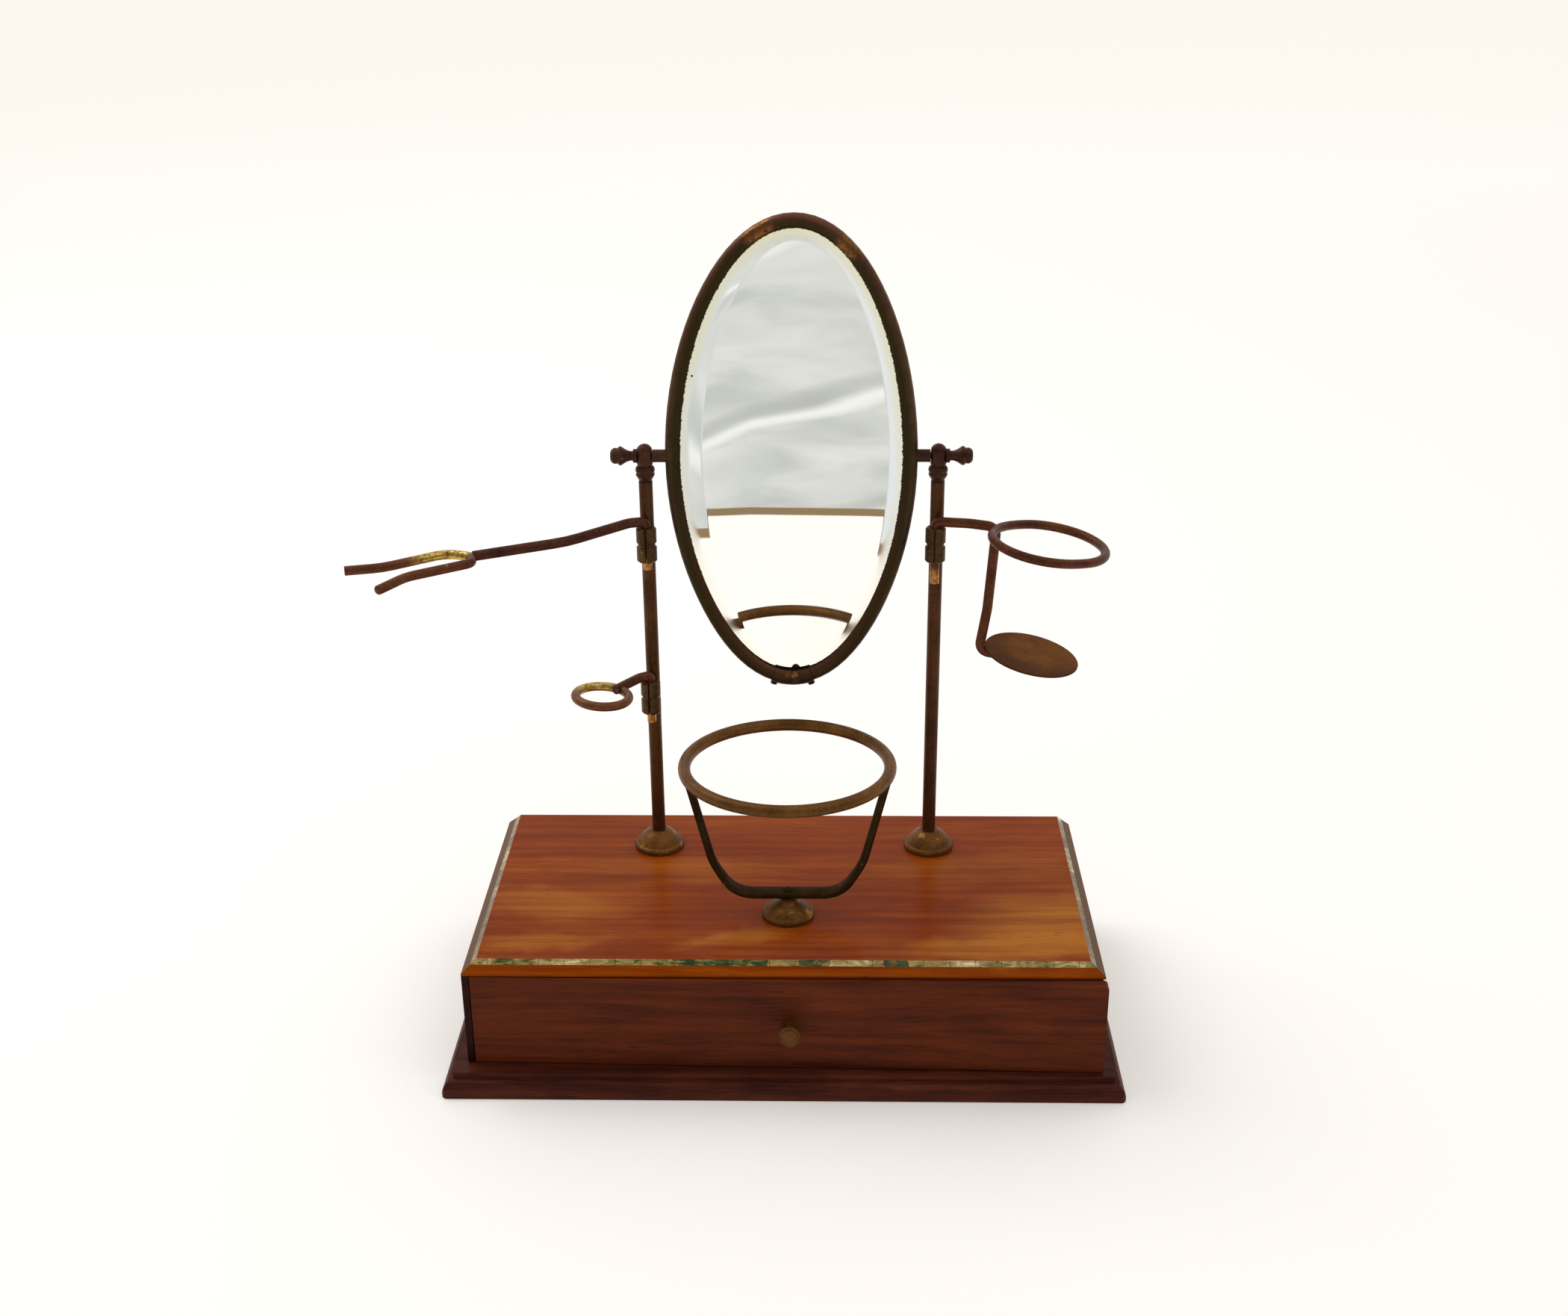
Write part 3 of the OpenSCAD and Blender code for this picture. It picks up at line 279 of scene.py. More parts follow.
bpy.ops.mesh.primitive_plane_add(size=BACKDROP_SIZE, location=(0, BACKDROP_Y, -BACKDROP_SIZE / 2),
                                 rotation=(math.pi / 2, 0, 0))
backdrop = bpy.context.object
backdrop.name = "backdrop"
backdrop.data.materials.append(backdrop_finish)
backdrop.visible_camera = backdrop.visible_diffuse = backdrop.visible_shadow = False
print("backdrop:", -BACKDROP_Y, "m off")


# %% Lamps
def softbox(name, place, target, size, watts):
    """A square lamp, size metres wide, that shines on the target."""
    lamp = bpy.data.objects.new(name, bpy.data.lights.new(name, "AREA"))
    lamp.data.shape, lamp.data.size, lamp.data.energy = "SQUARE", size, watts
    lamp.location = place
    lamp.rotation_euler = (Vector(target) - Vector(place)).to_track_quat("-Z", "Y").to_euler()
    bpy.context.scene.collection.objects.link(lamp)


TOP_BOARD_MIDDLE = (0, 0, 0.1)
softbox("window", (-1.1, 0.55, 1.7), TOP_BOARD_MIDDLE, 1.2, 11)
softbox("ceiling", (0.9, -0.6, 2.0), TOP_BOARD_MIDDLE, 1.6, 7)

scene = bpy.context.scene
scene.view_settings.view_transform = "Standard"

# %% [markdown]
# ## Timber
#
# Wood is a bundle of long fibres, so its pattern is noise drawn out along the grain. Three sizes
# of it make a board: growth bands some millimetres wide, fibres under a millimetre, and open pores
# that show as short dark dashes. An image texture would also do, but noise follows the real
# measurements and covers every side of a board without seams.

# %% Grain
def millimetres(tree, turn=(0, 0, 0)):
    """Object coordinates in millimetres, turned so that X runs along the grain."""
    return add(tree, "Mapping", {
        "Vector": add(tree, "TexCoord")["Object"], "Rotation": turn, "Scale": (1000, 1000, 1000)})[0]


def wander(tree, place, size, by):
    """Place, pushed about by soft noise: size is the noise's scale and by the push, both in mm."""
    cloud = add(tree, "TexNoise", {"Vector": place, "Scale": 1 / size, "Detail": 2})
    centred = add(tree, "VectorMath", {0: cloud["Color"], 1: (0.5, 0.5, 0.5)}, operation="SUBTRACT")
    pushed = add(tree, "VectorMath", {0: centred[0], 1: (by, by, by)}, operation="MULTIPLY")
    return add(tree, "VectorMath", {0: place, 1: pushed[0]}, operation="ADD")[0]


def streaks(tree, place, width, length, detail=3, low=0.3, high=0.7):
    """Noise from 0 to 1 whose features are width by length millimetres, drawn out along X."""
    drawn = add(tree, "VectorMath", {0: place, 1: (width / length, 1, 1)}, operation="MULTIPLY")
    field = add(tree, "TexNoise", {"Vector": drawn[0], "Scale": 1 / width, "Detail": detail})
    return add(tree, "MapRange", {"Value": field[0], "From Min": low, "From Max": high})[0]


def set_roughness(tree, shader, mask, least, most):
    """Roughness from least, where the mask is 0, to most, where it is 1."""
    rough = add(tree, "MapRange", {"Value": mask, "To Min": least, "To Max": most})
    tree.links.new(rough[0], shader.inputs["Roughness"])


def set_relief(tree, shader, height, strength, deep):
    """Small bumps from a height pattern, deep in millimetres."""
    relief = add(tree, "Bump", {"Height": height, "Strength": strength, "Distance": deep * MM})
    tree.links.new(relief[0], shader.inputs["Normal"])


# %% [markdown]
# ### Rosewood
#
# The case, drawer front and plinth are rosewood: chocolate brown with near-black veins and a red
# cast, planed and waxed. Wax leaves a low sheen, so the shader is fairly rough with a thin, soft
# coat. Veins are narrow against the bands, because the boards are sawn flat.

# %% Rosewood
def rosewood(name, tones, turn=(0, 0, 0), seed=0.0):
    """Waxed rosewood. seed moves the pattern, so that no two boards are alike."""
    made, tree, shader = finish(name, Specular_IOR_Level=0.07, Coat_Weight=0.015, Coat_Roughness=0.3)
    shift = add(tree, "VectorMath", {0: millimetres(tree, turn), 1: (seed, seed, seed)}, operation="ADD")
    place = wander(tree, shift[0], 70, 6)
    bands = streaks(tree, place, 4, 160, 4)
    fibres = streaks(tree, place, 0.6, 16, 3, 0.25, 0.75)
    veins = streaks(tree, place, 0.9, 22, 2, 0.6, 0.74)
    stains = streaks(tree, place, 14, 40, 3, 0.35, 0.65)
    tone = weighted(tree, (fibres, 0.33), (bands, 0.42), (stains, 0.25))
    colour = add(tree, "ValToRGB", {0: tone}, stops=tones)[0]
    veined = painted(tree, colour, (weighted(tree, (veins, 0.45)), "#1a0806"))
    tree.links.new(veined, shader.inputs["Base Color"])
    set_roughness(tree, shader, fibres, 0.38, 0.56)
    set_relief(tree, shader, weighted(tree, (fibres, 1), (veins, -0.6)), 0.35, 0.12)
    return made


DARK_ROSEWOOD = [(0.1, "#2c110c"), (0.4, "#431d15"), (0.65, "#572719"), (0.95, "#6c3520")]
RED_ROSEWOOD = [(0.1, "#3c170a"), (0.4, "#572410"), (0.65, "#672c13"), (0.95, "#783618")]
QUARTER = math.pi / 2
PLINTH_FINISH = rosewood("rosewood_plinth", DARK_ROSEWOOD)
SIDE_FINISH = rosewood("rosewood_side", DARK_ROSEWOOD, turn=(0, 0, QUARTER), seed=40)
coat_with(SIDE_FINISH, "left_side", "right_side")
coat_with(rosewood("rosewood_back", RED_ROSEWOOD, seed=90), "back_board")
coat_with(rosewood("rosewood_drawer_front", RED_ROSEWOOD, seed=17), "drawer_front")

# %% [markdown]
# The side boards' grain runs from front to back, so their front ends are end grain. These ends face the
# front and sit back beside the drawer front, and are painted darker there as painted shade.

# %% Painted shade on the side boards' front ends
tree = SIDE_FINISH.node_tree
shader = tree.nodes["Principled BSDF"]
facing = add(tree, "SeparateXYZ", {0: add(tree, "NewGeometry")["True Normal"]})["Y"]
# painted shade: faces of the side boards that face the front are darkened
front_end_shade = add(tree, "Math", {0: facing, 1: -0.5}, operation="LESS_THAN")[0]
plain = shader.inputs["Base Color"].links[0].from_socket
shaded_end_colour = add(tree, "Mix", {0: 1.0, 6: plain, 7: linear("#8f7c70")}, data_type="RGBA",
             blend_type="MULTIPLY")[2]
tree.links.new(painted(tree, plain, (front_end_shade, shaded_end_colour)), shader.inputs["Base Color"])
print("end grain on", SIDE_FINISH.name)

# %% [markdown]
# ### The top board
#
# The top is a paler, golden-brown board under French polish, a shellac rubbed on in many thin layers.
# Its straight streaks run from side to side, and the polish has brought up a lively figure: reddish
# clouds at the back and round the middle, and golden flames at the front. The clouds are soft patches
# laid where such figure lies on a board like this. The bright and golden patches at the left and right
# ends are figure and also painted sheen, where the polish catches the light.

# %% Patches of the top board's figure
RED_PATCHES = [((-6, -14), (84, 40), 6), ((72, -34), (56, 18), 10), ((10, 46), (160, 20), 0),
               ((-64, -50), (50, 12), 0)]
BRIGHT_FIGURE_AND_SHEEN_PATCHES = [((126, -28), (60, 40), 6), ((100, -50), (66, 15), 3)]
GOLDEN_FIGURE_AND_SHEEN_PATCHES = [((-24, -42), (46, 10), 12), ((-114, -12), (54, 24), -4), ((-112, -46), (44, 12), 0)]
FAINT_PATCHES = [((96, 24), (80, 20), 2), ((-52, 22), (80, 18), 0)]


def patch(tree, place, centre, size, turn):
    """A soft-edged ellipse: 1 in the middle and 0 outside. centre and size are in millimetres."""
    own = add(tree, "Mapping", {
        "Vector": place, "Location": (*centre, 0), "Rotation": (0, 0, math.radians(turn)),
        "Scale": (*size, 400)}, vector_type="TEXTURE")
    far = add(tree, "VectorMath", {0: own[0]}, operation="LENGTH")
    return add(tree, "MapRange", {"Value": far["Value"], "From Min": 1, "From Max": 0.2},
               interpolation_type="SMOOTHERSTEP")[0]


# %% Top board
def polished_board(name):
    """A streaked board under French polish, with its patches and with worn side chamfers."""
    made, tree, shader = finish(name, Specular_IOR_Level=0.06, Specular_Tint=linear("#f0a060"),
                                Coat_Weight=0.02, Coat_Roughness=0.1)
    flat = millimetres(tree)
    place = wander(tree, flat, 60, 5)
    bands = streaks(tree, place, 4, 190, 4)
    fibres = streaks(tree, place, 0.7, 30, 3, 0.25, 0.75)
    pores = streaks(tree, place, 0.8, 7, 1, 0.68, 0.76)
    clouds = streaks(tree, place, 16, 60, 2, 0.3, 0.7)
    tone = weighted(tree, (fibres, 0.3), (bands, 0.4), (clouds, 0.3))
    colour = add(tree, "ValToRGB", {0: tone}, stops=[
        (0.15, "#7c2d04"), (0.4, "#883605"), (0.62, "#924007"), (0.85, "#9f4c0b")])[0]
    soft = wander(tree, wander(tree, flat, 26, 22), 7, 5)
    # the bright and golden patches at the left and right ends are partly painted sheen of the polish
    for patches, tint, share in ((RED_PATCHES, "#842f07", 0.55), (BRIGHT_FIGURE_AND_SHEEN_PATCHES, "#bd7222", 0.8),
                                 (GOLDEN_FIGURE_AND_SHEEN_PATCHES, "#b0681e", 0.65), (FAINT_PATCHES, "#a8601c", 0.35)):
        streaked = weighted(tree, (1.0, 0.3 * share), (tone, 1.1 * share))
        for centre, size, turn in patches:
            mask = weighted(tree, (patch(tree, soft, centre, size, turn), streaked))
            colour = painted(tree, colour, (mask, tint))
    greys = add(tree, "ValToRGB", {0: tone}, stops=[
        (0.15, "#808080"), (0.5, "#d0d0d0"), (0.8, "#ffffff")])[0]
    shade = add(tree, "Mix", {0: 0.22, 6: colour, 7: greys}, data_type="RGBA",
                blend_type="MULTIPLY")[2]
    sideways = add(tree, "SeparateXYZ", {0: add(tree, "NewGeometry")["True Normal"]})["X"]
    steep = add(tree, "Math", {0: sideways}, operation="ABSOLUTE")[0]
    at_side = add(tree, "Math", {0: steep, 1: 0.3}, operation="GREATER_THAN")[0]
    tree.links.new(
        painted(tree, shade, (weighted(tree, (pores, 0.5)), "#3a1408"), (at_side, "#5f3d1c")),
        shader.inputs["Base Color"])
    set_roughness(tree, shader, fibres, 0.26, 0.38)
    set_relief(tree, shader, weighted(tree, (fibres, 1), (pores, -0.7)), 0.18, 0.08)
    return made


coat_with(polished_board("polished_top_board"), "top_board")

# %% [markdown]
# ### Pine
#
# The drawer's sides, back and bottom are bare pine, yellowed and dusty with age. Nothing was
# rubbed into it, so it has no coat and hardly any sheen.

# %% Pine
made, tree, shader = finish("bare_pine", Roughness=0.72)
place = wander(tree, millimetres(tree), 50, 8)
bands = streaks(tree, place, 5, 160, 3)
fibres = streaks(tree, place, 0.9, 24, 3, 0.25, 0.75)
tone = weighted(tree, (fibres, 0.3), (bands, 0.7))
colour = add(tree, "ValToRGB", {0: tone}, stops=[
    (0.1, "#8d6a42"), (0.5, "#b08c5d"), (0.9, "#c9a877")])[0]
tree.links.new(colour, shader.inputs["Base Color"])
set_relief(tree, shader, fibres, 0.3, 0.12)
coat_with(made, "drawer_left_side", "drawer_right_side", "drawer_back", "drawer_floor")

# %% [markdown]
# ## Shell inlay
#
# The chamfer round the top is inlaid with thin slips of green sea-snail shell. Shell is built of
# clear layers, so it glows gold and cream where they lie flat and goes dark green where they dip.
# At the sides the slips are worn and browner. They differ in length, so a one-dimensional Voronoi
# pattern, which has cells of uneven size, gives each its tone. Slanting streaks a few millimetres
# long cross them.

# %% Shell
SLIP_LENGTH = 13
FLAME_WIDTH = 2.6


def shell(name, along, layers):
    """Polished shell in slips that follow each other along an axis. layers are its tones."""
    made, tree, shader = finish(name, Specular_IOR_Level=0.2, Coat_Weight=0.15, Coat_Roughness=0.1,
                                Roughness=0.28)
    place = millimetres(tree)
    axis = add(tree, "SeparateXYZ", {0: place})[along]
    uneven = add(tree, "TexNoise", {"Vector": place, "Scale": 1 / 5, "Detail": 2})[0]
    run = weighted(tree, (axis, 1), (uneven, 9))
    slip = add(tree, "TexVoronoi", {"W": weighted(tree, (run, 1 / SLIP_LENGTH)), "Scale": 1},
               voronoi_dimensions="1D")
    which = add(tree, "SeparateXYZ", {0: slip["Color"]})[0]
    slanted = add(tree, "Mapping", {
        "Vector": place, "Rotation": (0.5, 0.5, 0.7), "Scale": (0.35, 1, 1)})[0]
    flame = add(tree, "TexNoise", {
        "Vector": slanted, "Scale": 1 / FLAME_WIDTH, "Detail": 3, "Distortion": 1.4})[0]
    dip = add(tree, "MapRange", {"Value": flame, "From Min": 0.3, "From Max": 0.7})[0]
    tone = weighted(tree, (dip, 0.5), (which, 0.5))
    tree.links.new(add(tree, "ValToRGB", {0: tone}, stops=layers)[0], shader.inputs["Base Color"])
    return made


FRONT_LAYERS = [(0.12, "#1d2c10"), (0.3, "#3c4c1c"), (0.42, "#7c6f38"), (0.6, "#a58b4e"),
                (0.8, "#c9b57c"), (0.92, "#efe6bc")]
SIDE_LAYERS = [(0.15, "#5c4426"), (0.4, "#82683f"), (0.62, "#97805a"), (0.75, "#a8936a"),
               (0.88, "#e3d6ae")]
coat_with(shell("green_shell_front", "X", FRONT_LAYERS), "inlay_front")
coat_with(shell("green_shell_side", "Y", SIDE_LAYERS), "inlay_left", "inlay_right")

# %% [markdown]
# ## Brass
#
# All the metalwork is brass that has gone brown. A thin skin of oxide hides the yellow, redder on
# the drawn tube and wire, more olive on the cast and bent pieces, and fingers have rubbed the
# high spots back to gold. Oxide reflects less like metal than the brass beneath, so where the
# rubbed mask is low the metallic value drops and the roughness rises.

# %% Patina
MOTTLE_SIZE = 1.6


def patina(name, dull, brown, bare, rubbed=(0.66, 0.8), cloud=14, sheen=0.1, spots=(), tint="#ffffff"):
    """dull and brown are the oxide's tones, bare the rubbed brass. rubbed is where the cloud noise
    turns to brass. spots are (centre, radius) of places that are always rubbed, in mm."""
    made, tree, shader = finish(name, Specular_IOR_Level=sheen, Specular_Tint=linear(tint))
    place = millimetres(tree)
    clouds = add(tree, "TexNoise", {
        "Vector": place, "Scale": 1 / cloud, "Detail": 5, "Roughness": 0.62})[0]
    mottle = add(tree, "TexNoise", {
        "Vector": place, "Scale": 1 / MOTTLE_SIZE, "Detail": 4, "Roughness": 0.6})[0]
    tone = weighted(tree, (clouds, 0.65), (mottle, 0.35))
    oxide = add(tree, "ValToRGB", {0: tone}, stops=[(0.34, dull), (0.66, brown)])[0]
    elsewhere = add(tree, "VectorMath", {0: place, 1: (71, 13, 37)}, operation="ADD")[0]
    second = add(tree, "TexNoise", {
        "Vector": elsewhere, "Scale": 1 / (0.6 * cloud), "Detail": 4, "Roughness": 0.7})[0]
    worn = add(tree, "MapRange", {
        "Value": second, "From Min": rubbed[0], "From Max": rubbed[1]})[0]
    grainy = add(tree, "MapRange", {"Value": mottle, "From Min": 0.3, "From Max": 0.55})[0]
    for centre, radius in spots:
        far = add(tree, "VectorMath", {0: place, 1: centre}, operation="DISTANCE")["Value"]
        spot = add(tree, "MapRange", {"Value": far, "From Min": radius, "From Max": 0.45 * radius},
                   interpolation_type="SMOOTHSTEP")[0]
        worn = add(tree, "Math", {0: worn, 1: weighted(tree, (spot, grainy))}, operation="MAXIMUM")[0]
    metal = add(tree, "MapRange", {"Value": worn, "To Min": 0.4, "To Max": 0.95})[0]
    tree.links.new(painted(tree, oxide, (worn, bare)), shader.inputs["Base Color"])
    tree.links.new(metal, shader.inputs["Metallic"])
    set_roughness(tree, shader, worn, 0.42, 0.3)
    set_relief(tree, shader, mottle, 0.12, 0.1)
    return made


TUBE_BROWN = ("#38210f", "#5f3a1e", "#a5733a")
TURNED_BROWN = ("#2e1b12", "#583729", "#a5733a")
WIRE_BROWN = ("#402114", "#6f3f28", "#b07a40")
OLIVE_BROWN = ("#4c3012", "#7c5328", "#a58443")
GOLD_BROWN = ("#4d2f10", "#7f5223", "#b58a42")

# %% [markdown]
# ## Smooth skins
#
# Tubes and wires that bend, and the plinth's round, leave CAD as skins of flat facets. A fresh
# copy with its points merged and its soft edges shaded smooth looks drawn, bent or planed. It
# stands for the CAD node, and rides on the same body.

# %% Smooth copies of the faceted pieces
CREASE = math.radians(35)
FACETED = ["plinth", "mirror_frame", "frame_sleeve", "glass_stop", "fork_arm", "fork_prongs",
           "small_ring_arm", "tumbler_arm", "tumbler_ring", "bowl_yoke"]


def smooth_copy(node):
    """A copy of a CAD node that is smooth but for edges sharper than CREASE."""
    mesh = nodes[node].data.copy()
    shape = bmesh.new()
    shape.from_mesh(mesh)
    bmesh.ops.remove_doubles(shape, verts=shape.verts, dist=0.002 * MM)
    for edge in shape.edges:
        edge.smooth = len(edge.link_faces) == 2 and edge.calc_face_angle(0) < CREASE
    for face in shape.faces:
        face.smooth = True
    fresh = bpy.data.meshes.new(node + "_skin")
    shape.to_mesh(fresh)
    shape.free()
    bpy.data.meshes.remove(mesh)
    fresh.materials.append(None)
    piece = bpy.data.objects.new(node + "_skin", fresh)
    bpy.context.scene.collection.objects.link(piece)
    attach(piece, nodes[node]["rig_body"])
    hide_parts(node)
    return piece


for node in FACETED:
    print(node, "->", smooth_copy(node).name)

coat_with(PLINTH_FINISH, "plinth_skin")

# %% [markdown]
# Each family of brass pieces gets its own patina. Some places are always bright: the hinge pins'
# tails, which rub in their lugs, the bend of the fork, and the back of the small ring. One patina
# with other spots would save lines, but the pieces have aged to different browns.

# %% Brass on the posts, holders and bowl stand
FORK_TAIL = ((-66.6, 40, 221.5), 6)
SMALL_RING_TAIL = ((-66.7, 40, 141), 5)
TUMBLER_TAIL = ((69.4, 40, 213), 9)
FORK_BEND = [((-160, -1.4, 243.6), 17), ((-146, -1, 243.6), 12)]
SMALL_RING_BACK = ((-95, 29, 164), 16)

coat_with(patina("brown_brass_tube", *TUBE_BROWN), "left_post", "right_post")
coat_with(patina("brown_brass_turnings", *TURNED_BROWN), "left_post_head", "right_post_head",
          "left_washer", "right_washer", "left_pivot_knob", "right_pivot_knob", "left_boss",
          "right_boss")
coat_with(patina("olive_brass_lugs", "#2d1e0f", "#5e4322", "#b39a56", cloud=7), "upper_left_lug",
          "lower_left_lug", "right_lug")
coat_with(patina("brown_brass_wire", *WIRE_BROWN, spots=[SMALL_RING_TAIL, TUMBLER_TAIL]),
          "small_ring_arm_skin", "tumbler_arm_skin", "tumbler_ring_skin")
coat_with(patina("dark_brass_arm", "#341c14", "#5c3527", "#b07a40", sheen=0.07, spots=[FORK_TAIL]),
          "fork_arm_skin")
coat_with(patina("olive_brass", *OLIVE_BROWN), "bowl_ring")
coat_with(patina("dark_olive_brass", "#1c1409", "#3d2b14", "#8f7138", sheen=0.04, tint="#a8743c"),
          "bowl_yoke_skin", "bowl_bolt")
coat_with(patina("rubbed_brass_turnings", *GOLD_BROWN, rubbed=(0.6, 0.78)), "left_foot",
          "right_foot", "bowl_foot")
coat_with(patina("brown_brass_drawer_knob", "#422710", "#6f481f", "#b58a42"), "drawer_knob")
coat_with(patina("rubbed_brass_wire", "#4a2918", "#704229", "#c7a654", spots=FORK_BEND),
          "fork_prongs_skin")
coat_with(patina("golden_brass_ring", "#5a3620", "#86573a", "#cbaa5c", spots=[SMALL_RING_BACK]),
          "small_ring")

# %% [markdown]
# The tumbler disc is a flat plate. It is duller than the rest, lighter in the middle, where
# tumblers stood, and dark round its rim.

# %% Tumbler disc
DISC_MIDDLE = (124, 31, 180)
made = patina("dull_brass_disc", "#5a3513", "#794b1c", "#a0803f", cloud=9, sheen=0.02, tint="#c08a50")
tree = made.node_tree
shader = tree.nodes["Principled BSDF"]
far = add(tree, "VectorMath", {0: millimetres(tree), 1: DISC_MIDDLE}, operation="DISTANCE")["Value"]
rim = add(tree, "MapRange", {"Value": far, "From Min": 12, "From Max": 25, "To Max": 0.6},
          interpolation_type="SMOOTHSTEP")[0]
plain = shader.inputs["Base Color"].links[0].from_socket
tree.links.new(painted(tree, plain, (rim, "#3f2415")), shader.inputs["Base Color"])
tree.links.remove(shader.inputs["Metallic"].links[0])
shader.inputs["Metallic"].default_value = 0.15
coat_with(made, "tumbler_disc")

# %% [markdown]
# ## The oval
#
# The mirror's frame is an ellipse bent by hand: a little pinched on its diagonals, and with its
# crown swayed to one side. The frame's finish and the glass both follow it, so its formula stands
# here once. A table of points would also do, but would not show the rule behind them.

# %% The oval of the mirror
FRAME_A, FRAME_B = 55.9, 111.55
CROWN_SWAY, UPPER_PINCH, LOWER_PINCH = 1.8, 0.7, 1.3
MIRROR_CENTRE = Vector((3.5, 47.0, 271.6))


def on_oval(turn, inset, depth):
    """A point inset from the middle of the frame's tube, at a depth behind the posts' plane."""
    c, s = math.cos(turn), math.sin(turn)
    normal = Vector((c / FRAME_A, 0, s / FRAME_B)).normalized()
    pinch = LOWER_PINCH if s < 0 else UPPER_PINCH
    base = Vector((FRAME_A * c + CROWN_SWAY * max(0, s) ** 2, depth, FRAME_B * s))
    return MIRROR_CENTRE + base - normal * (inset + pinch * math.sin(2 * turn) ** 2)


print("oval:", 2 * FRAME_A, "by", 2 * FRAME_B, "mm")

# %% [markdown]
# The outside of the mirror's frame is brown and the inner side of the tube, next to the glass, a dark
# olive. Where the frame faces upwards a redder brown is laid on as painted sheen, except where the brass
# is rubbed bright.

# %% Mirror frame
CROWN_WEAR = [((-12, 43.5, 381), 11), ((31, 43.5, 373), 9)]
JOINT_WEAR = [((1.4, 42.6, 162.6), 2.6), ((4.4, 42.6, 162.8), 2.6)]

made = patina("brown_brass_frame", "#32271a", "#58442f", "#7c5029", sheen=0.07,
              spots=CROWN_WEAR + JOINT_WEAR)
tree = made.node_tree
shader = tree.nodes["Principled BSDF"]
plain = shader.inputs["Base Color"].links[0].from_socket
unworn = add(tree, "MapRange", {
    "Value": shader.inputs["Metallic"].links[0].from_socket, "From Min": 0.7, "From Max": 0.4})[0]
from_middle = add(tree, "VectorMath", {0: millimetres(tree), 1: MIRROR_CENTRE}, operation="SUBTRACT")
on_unit_circle = add(tree, "VectorMath", {
    0: from_middle[0], 1: (1 / FRAME_A, 0, 1 / FRAME_B)}, operation="MULTIPLY")
reach = add(tree, "VectorMath", {0: on_unit_circle[0]}, operation="LENGTH")["Value"]
outer = add(tree, "MapRange", {"Value": reach, "From Min": 0.98, "From Max": 1.035})[0]
worn = add(tree, "Math", {0: 1.0, 1: unworn}, operation="SUBTRACT")[0]
brown = add(tree, "Math", {0: outer, 1: worn}, operation="MAXIMUM")[0]
upright = add(tree, "SeparateXYZ", {0: add(tree, "NewGeometry")["Normal"]})["Z"]
# painted sheen: upward-facing parts of the frame are painted a redder brown
painted_top_sheen = add(tree, "MapRange", {"Value": upright, "From Max": 0.75, "To Max": 0.75})[0]
tree.links.new(
    painted(tree, "#33280f", (brown, plain), (weighted(tree, (painted_top_sheen, unworn)), "#6d4031")),
    shader.inputs["Base Color"])
coat_with(made, "mirror_frame_skin", "frame_sleeve_skin", "sleeve_screws", "glass_stop_skin")

# %% [markdown]
# ## Steel screws
#
# The screws under the base are plain steel, dull and a little rusty. They are seen only when the
# stand is turned over.

# %% Steel
made, tree, shader = finish("dull_steel", Metallic=0.9)
rust = add(tree, "TexNoise", {"Vector": millimetres(tree), "Scale": 1 / 3, "Detail": 4})[0]
colour = add(tree, "ValToRGB", {0: rust}, stops=[(0.42, "#8a857c"), (0.6, "#6e5a48")])[0]
tree.links.new(colour, shader.inputs["Base Color"])
set_roughness(tree, shader, rust, 0.35, 0.6)
coat_with(made, "plinth_screws", "post_screws", "bowl_nut")

# %% [markdown]
# ## Looking-glass
#
# The mirror is 3 mm plate glass, silvered behind, with a bevel 5 to 12 mm wide ground round its
# edge. A clear solid over a silvered one would be slow to render clean. A thin wedge of glass in
# front of flat silver bends a ray towards its thick side, once on the way in and once on the way
# out. One silvered surface whose rim is dished forwards by half the bevel's slope shows the same
# picture. The ridge between flat and bevel is a little rounded by the polishing, which smears the
# picture there. Each point keeps its distance from the glass's edge for the finish to follow.

# %% Glass shape
EDGE_INSET, FLAT_DEPTH, BACK_DEPTH = 1.76, -0.4, 0.38
RIDGE = 0.9
LEAN = math.tan(math.radians(0.4))
STEPS = 192
ACROSS_BEVEL = (1, 0.85, 0.65, 0.4)
OVER_RIDGE = (1, 0.75, 0.5, 0.25, 0)


def flat_inset(turn):
    """Inset of the bevel's inner edge. The glass was ground by hand, with a wider left side."""
    c, s = math.cos(turn), math.sin(turn)
    return 12.1 - 2 * c - (3.2 if s > 0 else 5.0) * s * s


def rim_drop(turn):
    """How far the rim of the silver lies in front of its flat middle."""
    s = math.sin(turn)
    return 1.08 - (0.3 if s > 0 else 0.9) * s * s


def glass_point(turn, to_flat):
    """A point on the silver, to_flat from the bevel's inner edge, over which RIDGE is rounded."""
    slope = rim_drop(turn) / (flat_inset(turn) - EDGE_INSET - RIDGE / 2)
    rise = slope * (to_flat - RIDGE / 2 if to_flat > RIDGE else to_flat ** 2 / (2 * RIDGE))
    point = on_oval(turn, flat_inset(turn) - to_flat, FLAT_DEPTH - rise)
    point.y -= (point.z - MIRROR_CENTRE.z) * LEAN
    return point


# %% Glass mesh
shape = bmesh.new()
from_edge = shape.verts.layers.float.new("from_edge")
turns = [2 * math.pi * i / STEPS for i in range(STEPS)]
loops = [[shape.verts.new(on_oval(t, EDGE_INSET, BACK_DEPTH) * MM) for t in turns]]
for bevel, ridge in [(share, 1) for share in ACROSS_BEVEL] + [(0, share) for share in OVER_RIDGE]:
    loop = []
    for t in turns:
        width = flat_inset(t) - EDGE_INSET
        to_flat = bevel * (width - RIDGE) + ridge * RIDGE
        point = shape.verts.new(glass_point(t, to_flat) * MM)
        point[from_edge] = width - to_flat
        loop.append(point)
    loops.append(loop)
for outer_loop, inner_loop in zip(loops, loops[1:]):
    for i in range(STEPS):
        k = (i + 1) % STEPS
        shape.faces.new((outer_loop[i], outer_loop[k], inner_loop[k], inner_loop[i]))
shape.faces.new(loops[-1])
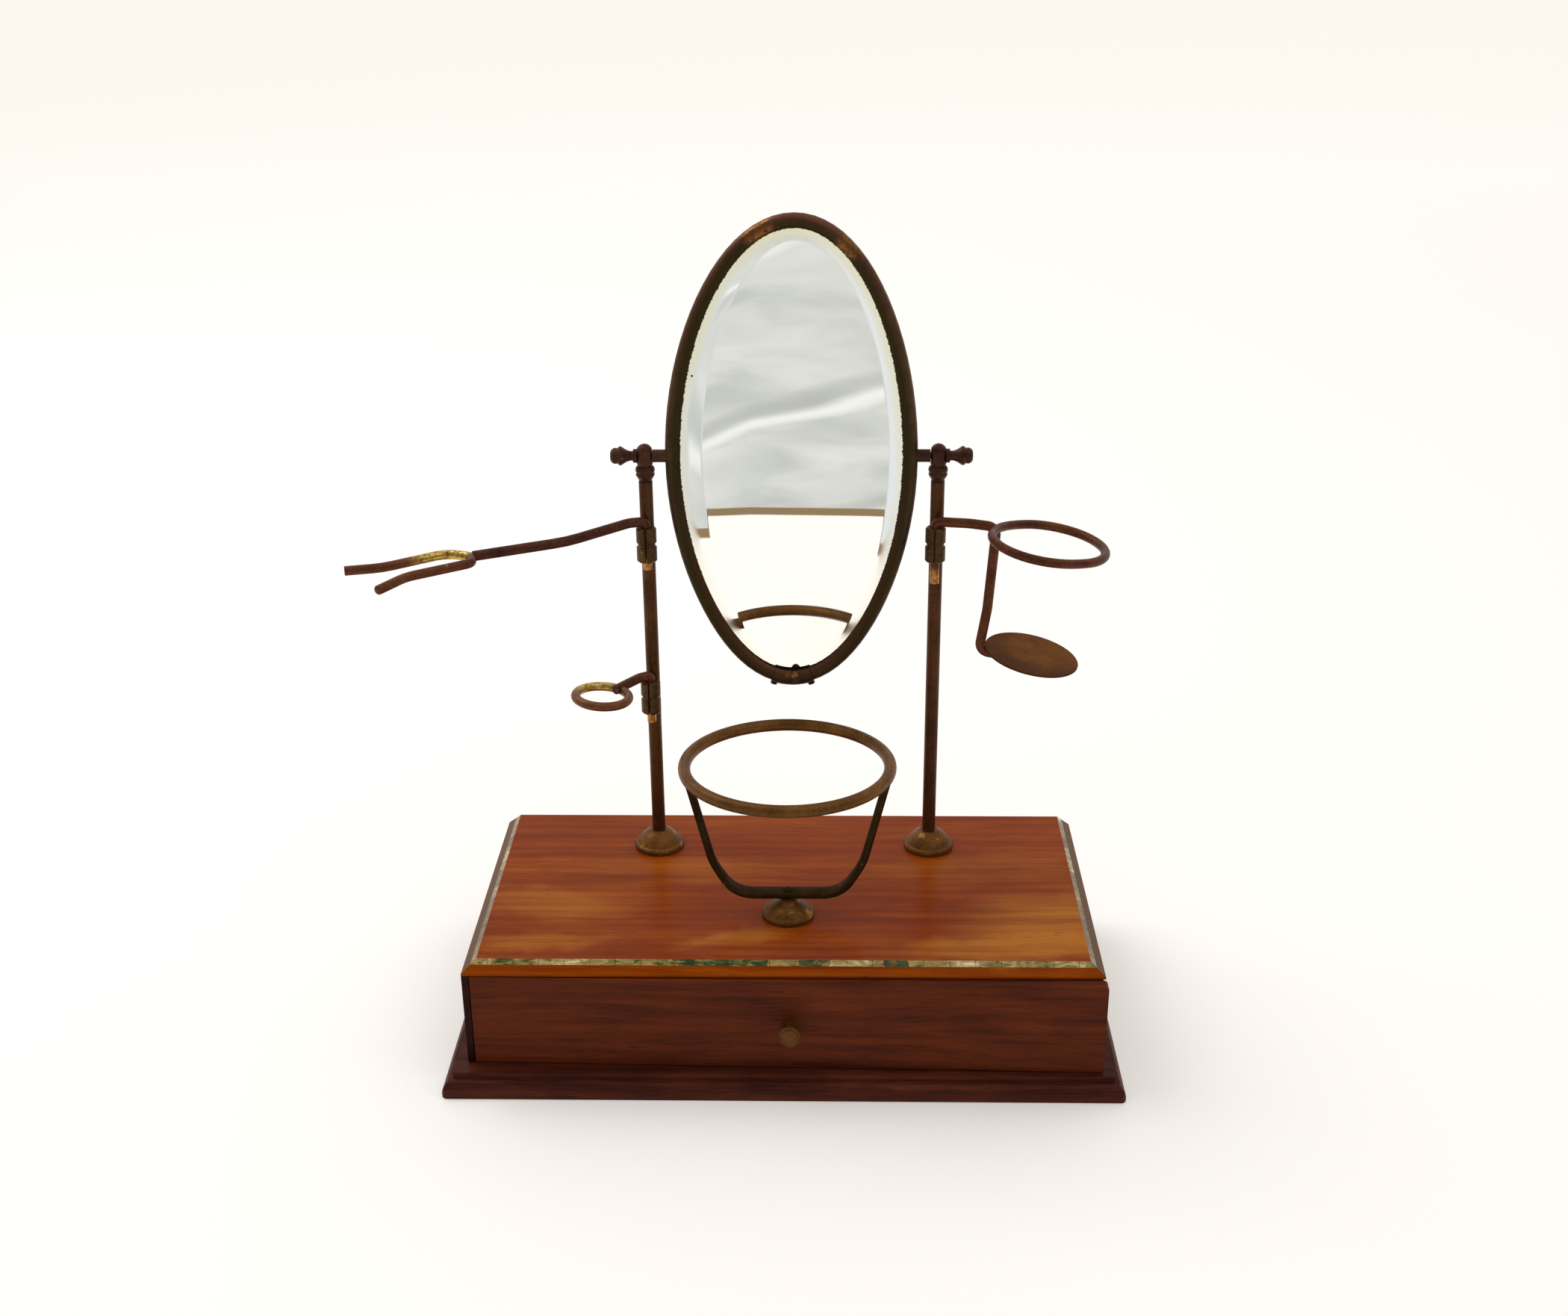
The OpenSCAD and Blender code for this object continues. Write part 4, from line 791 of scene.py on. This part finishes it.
shape.faces.new(list(reversed(loops[0])))
for face in shape.faces:
    face.smooth = True
for loop in loops[:2]:
    for i in range(STEPS):
        shape.edges.get((loop[i], loop[(i + 1) % STEPS])).smooth = False
bmesh.ops.recalc_face_normals(shape, faces=shape.faces)
mesh = bpy.data.meshes.new("looking_glass")
shape.to_mesh(mesh)
shape.free()
looking_glass = bpy.data.objects.new("looking_glass", mesh)
bpy.context.scene.collection.objects.link(looking_glass)
print("looking-glass:", len(mesh.polygons), "faces")

# %% [markdown]
# Old silvering fails from the edge: damp creeps in, and the silver goes yellow and then black in
# a ragged line. It has crept furthest at half height, and yellowed most at the top. A few black
# specks lie further in on the left.

# %% Silvered glass
HALF_HEIGHT_Z = 272.0
SPECK_SPACING = 6

made, tree, shader = finish("silvered_plate_glass", Roughness=0.015)
place = millimetres(tree)
across = add(tree, "SeparateXYZ", {0: place})
edge = add(tree, "Attribute", attribute_name="from_edge")["Fac"]
ragged = add(tree, "TexNoise", {"Vector": place, "Scale": 1 / 1.1, "Detail": 3})[0]
damp = add(tree, "TexNoise", {"Vector": place, "Scale": 1 / 40, "Detail": 1})[0]
from_half = add(tree, "Math", {0: across["Z"], 1: HALF_HEIGHT_Z}, operation="SUBTRACT")[0]
away = add(tree, "Math", {0: from_half}, operation="ABSOLUTE")[0]
middling = add(tree, "MapRange", {"Value": away, "From Min": 75, "From Max": 20})[0]
creep = weighted(tree, (middling, 0.6), (ragged, 1.7), (1.0, 0.5))
within = add(tree, "Math", {0: edge, 1: creep}, operation="SUBTRACT")[0]
black = add(tree, "MapRange", {"Value": within, "From Min": 0.12, "From Max": -0.1})[0]
upper = add(tree, "MapRange", {
    "Value": across["Z"], "From Min": 230, "From Max": 330, "To Min": 0.3, "To Max": 0.85})[0]
yellow = add(tree, "MapRange", {
    "Value": weighted(tree, (edge, 1), (damp, -5)), "From Min": 4.6, "From Max": -0.6,
    "To Max": upper}, interpolation_type="SMOOTHSTEP")[0]

# %% Specks
speck = add(tree, "TexVoronoi", {"Vector": place, "Scale": 1 / SPECK_SPACING})
drawn_lot = add(tree, "SeparateXYZ", {0: speck["Color"]})[0]
chosen = add(tree, "Math", {0: drawn_lot, 1: 0.82}, operation="GREATER_THAN")[0]
dot = add(tree, "Math", {0: speck["Distance"], 1: 0.09}, operation="LESS_THAN")[0]
leftwards = add(tree, "MapRange", {"Value": across["X"], "From Min": -10, "From Max": -40})[0]
specks = weighted(tree, (weighted(tree, (chosen, dot)), leftwards))
lost = add(tree, "Math", {0: black, 1: specks}, operation="MAXIMUM")[0]
kept = add(tree, "Math", {0: 1.0, 1: lost}, operation="SUBTRACT")[0]
tree.links.new(painted(tree, "#f7f8f6", (yellow, "#f3efcf"), (lost, "#1d1a17")),
               shader.inputs["Base Color"])
tree.links.new(kept, shader.inputs["Metallic"])
set_roughness(tree, shader, yellow, 0.012, 0.3)
looking_glass.data.materials.append(made)
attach(looking_glass, "mirror")
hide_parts("mirror_glass")
print("looking-glass silvered")

# %% [markdown]
# ## Backing
#
# A thin stained board closes the back of the glass. It was never meant to be seen, so it is rough,
# with a faint grain up and down.

# %% Backing board
made, tree, shader = finish("stained_backing_board", Roughness=0.7)
place = wander(tree, millimetres(tree, (0, QUARTER, 0)), 40, 6)
fibres = streaks(tree, place, 1.2, 40, 3, 0.25, 0.75)
colour = add(tree, "ValToRGB", {0: fibres}, stops=[(0.1, "#2b1c12"), (0.9, "#4d3522")])[0]
tree.links.new(colour, shader.inputs["Base Color"])
coat_with(made, "mirror_backing")
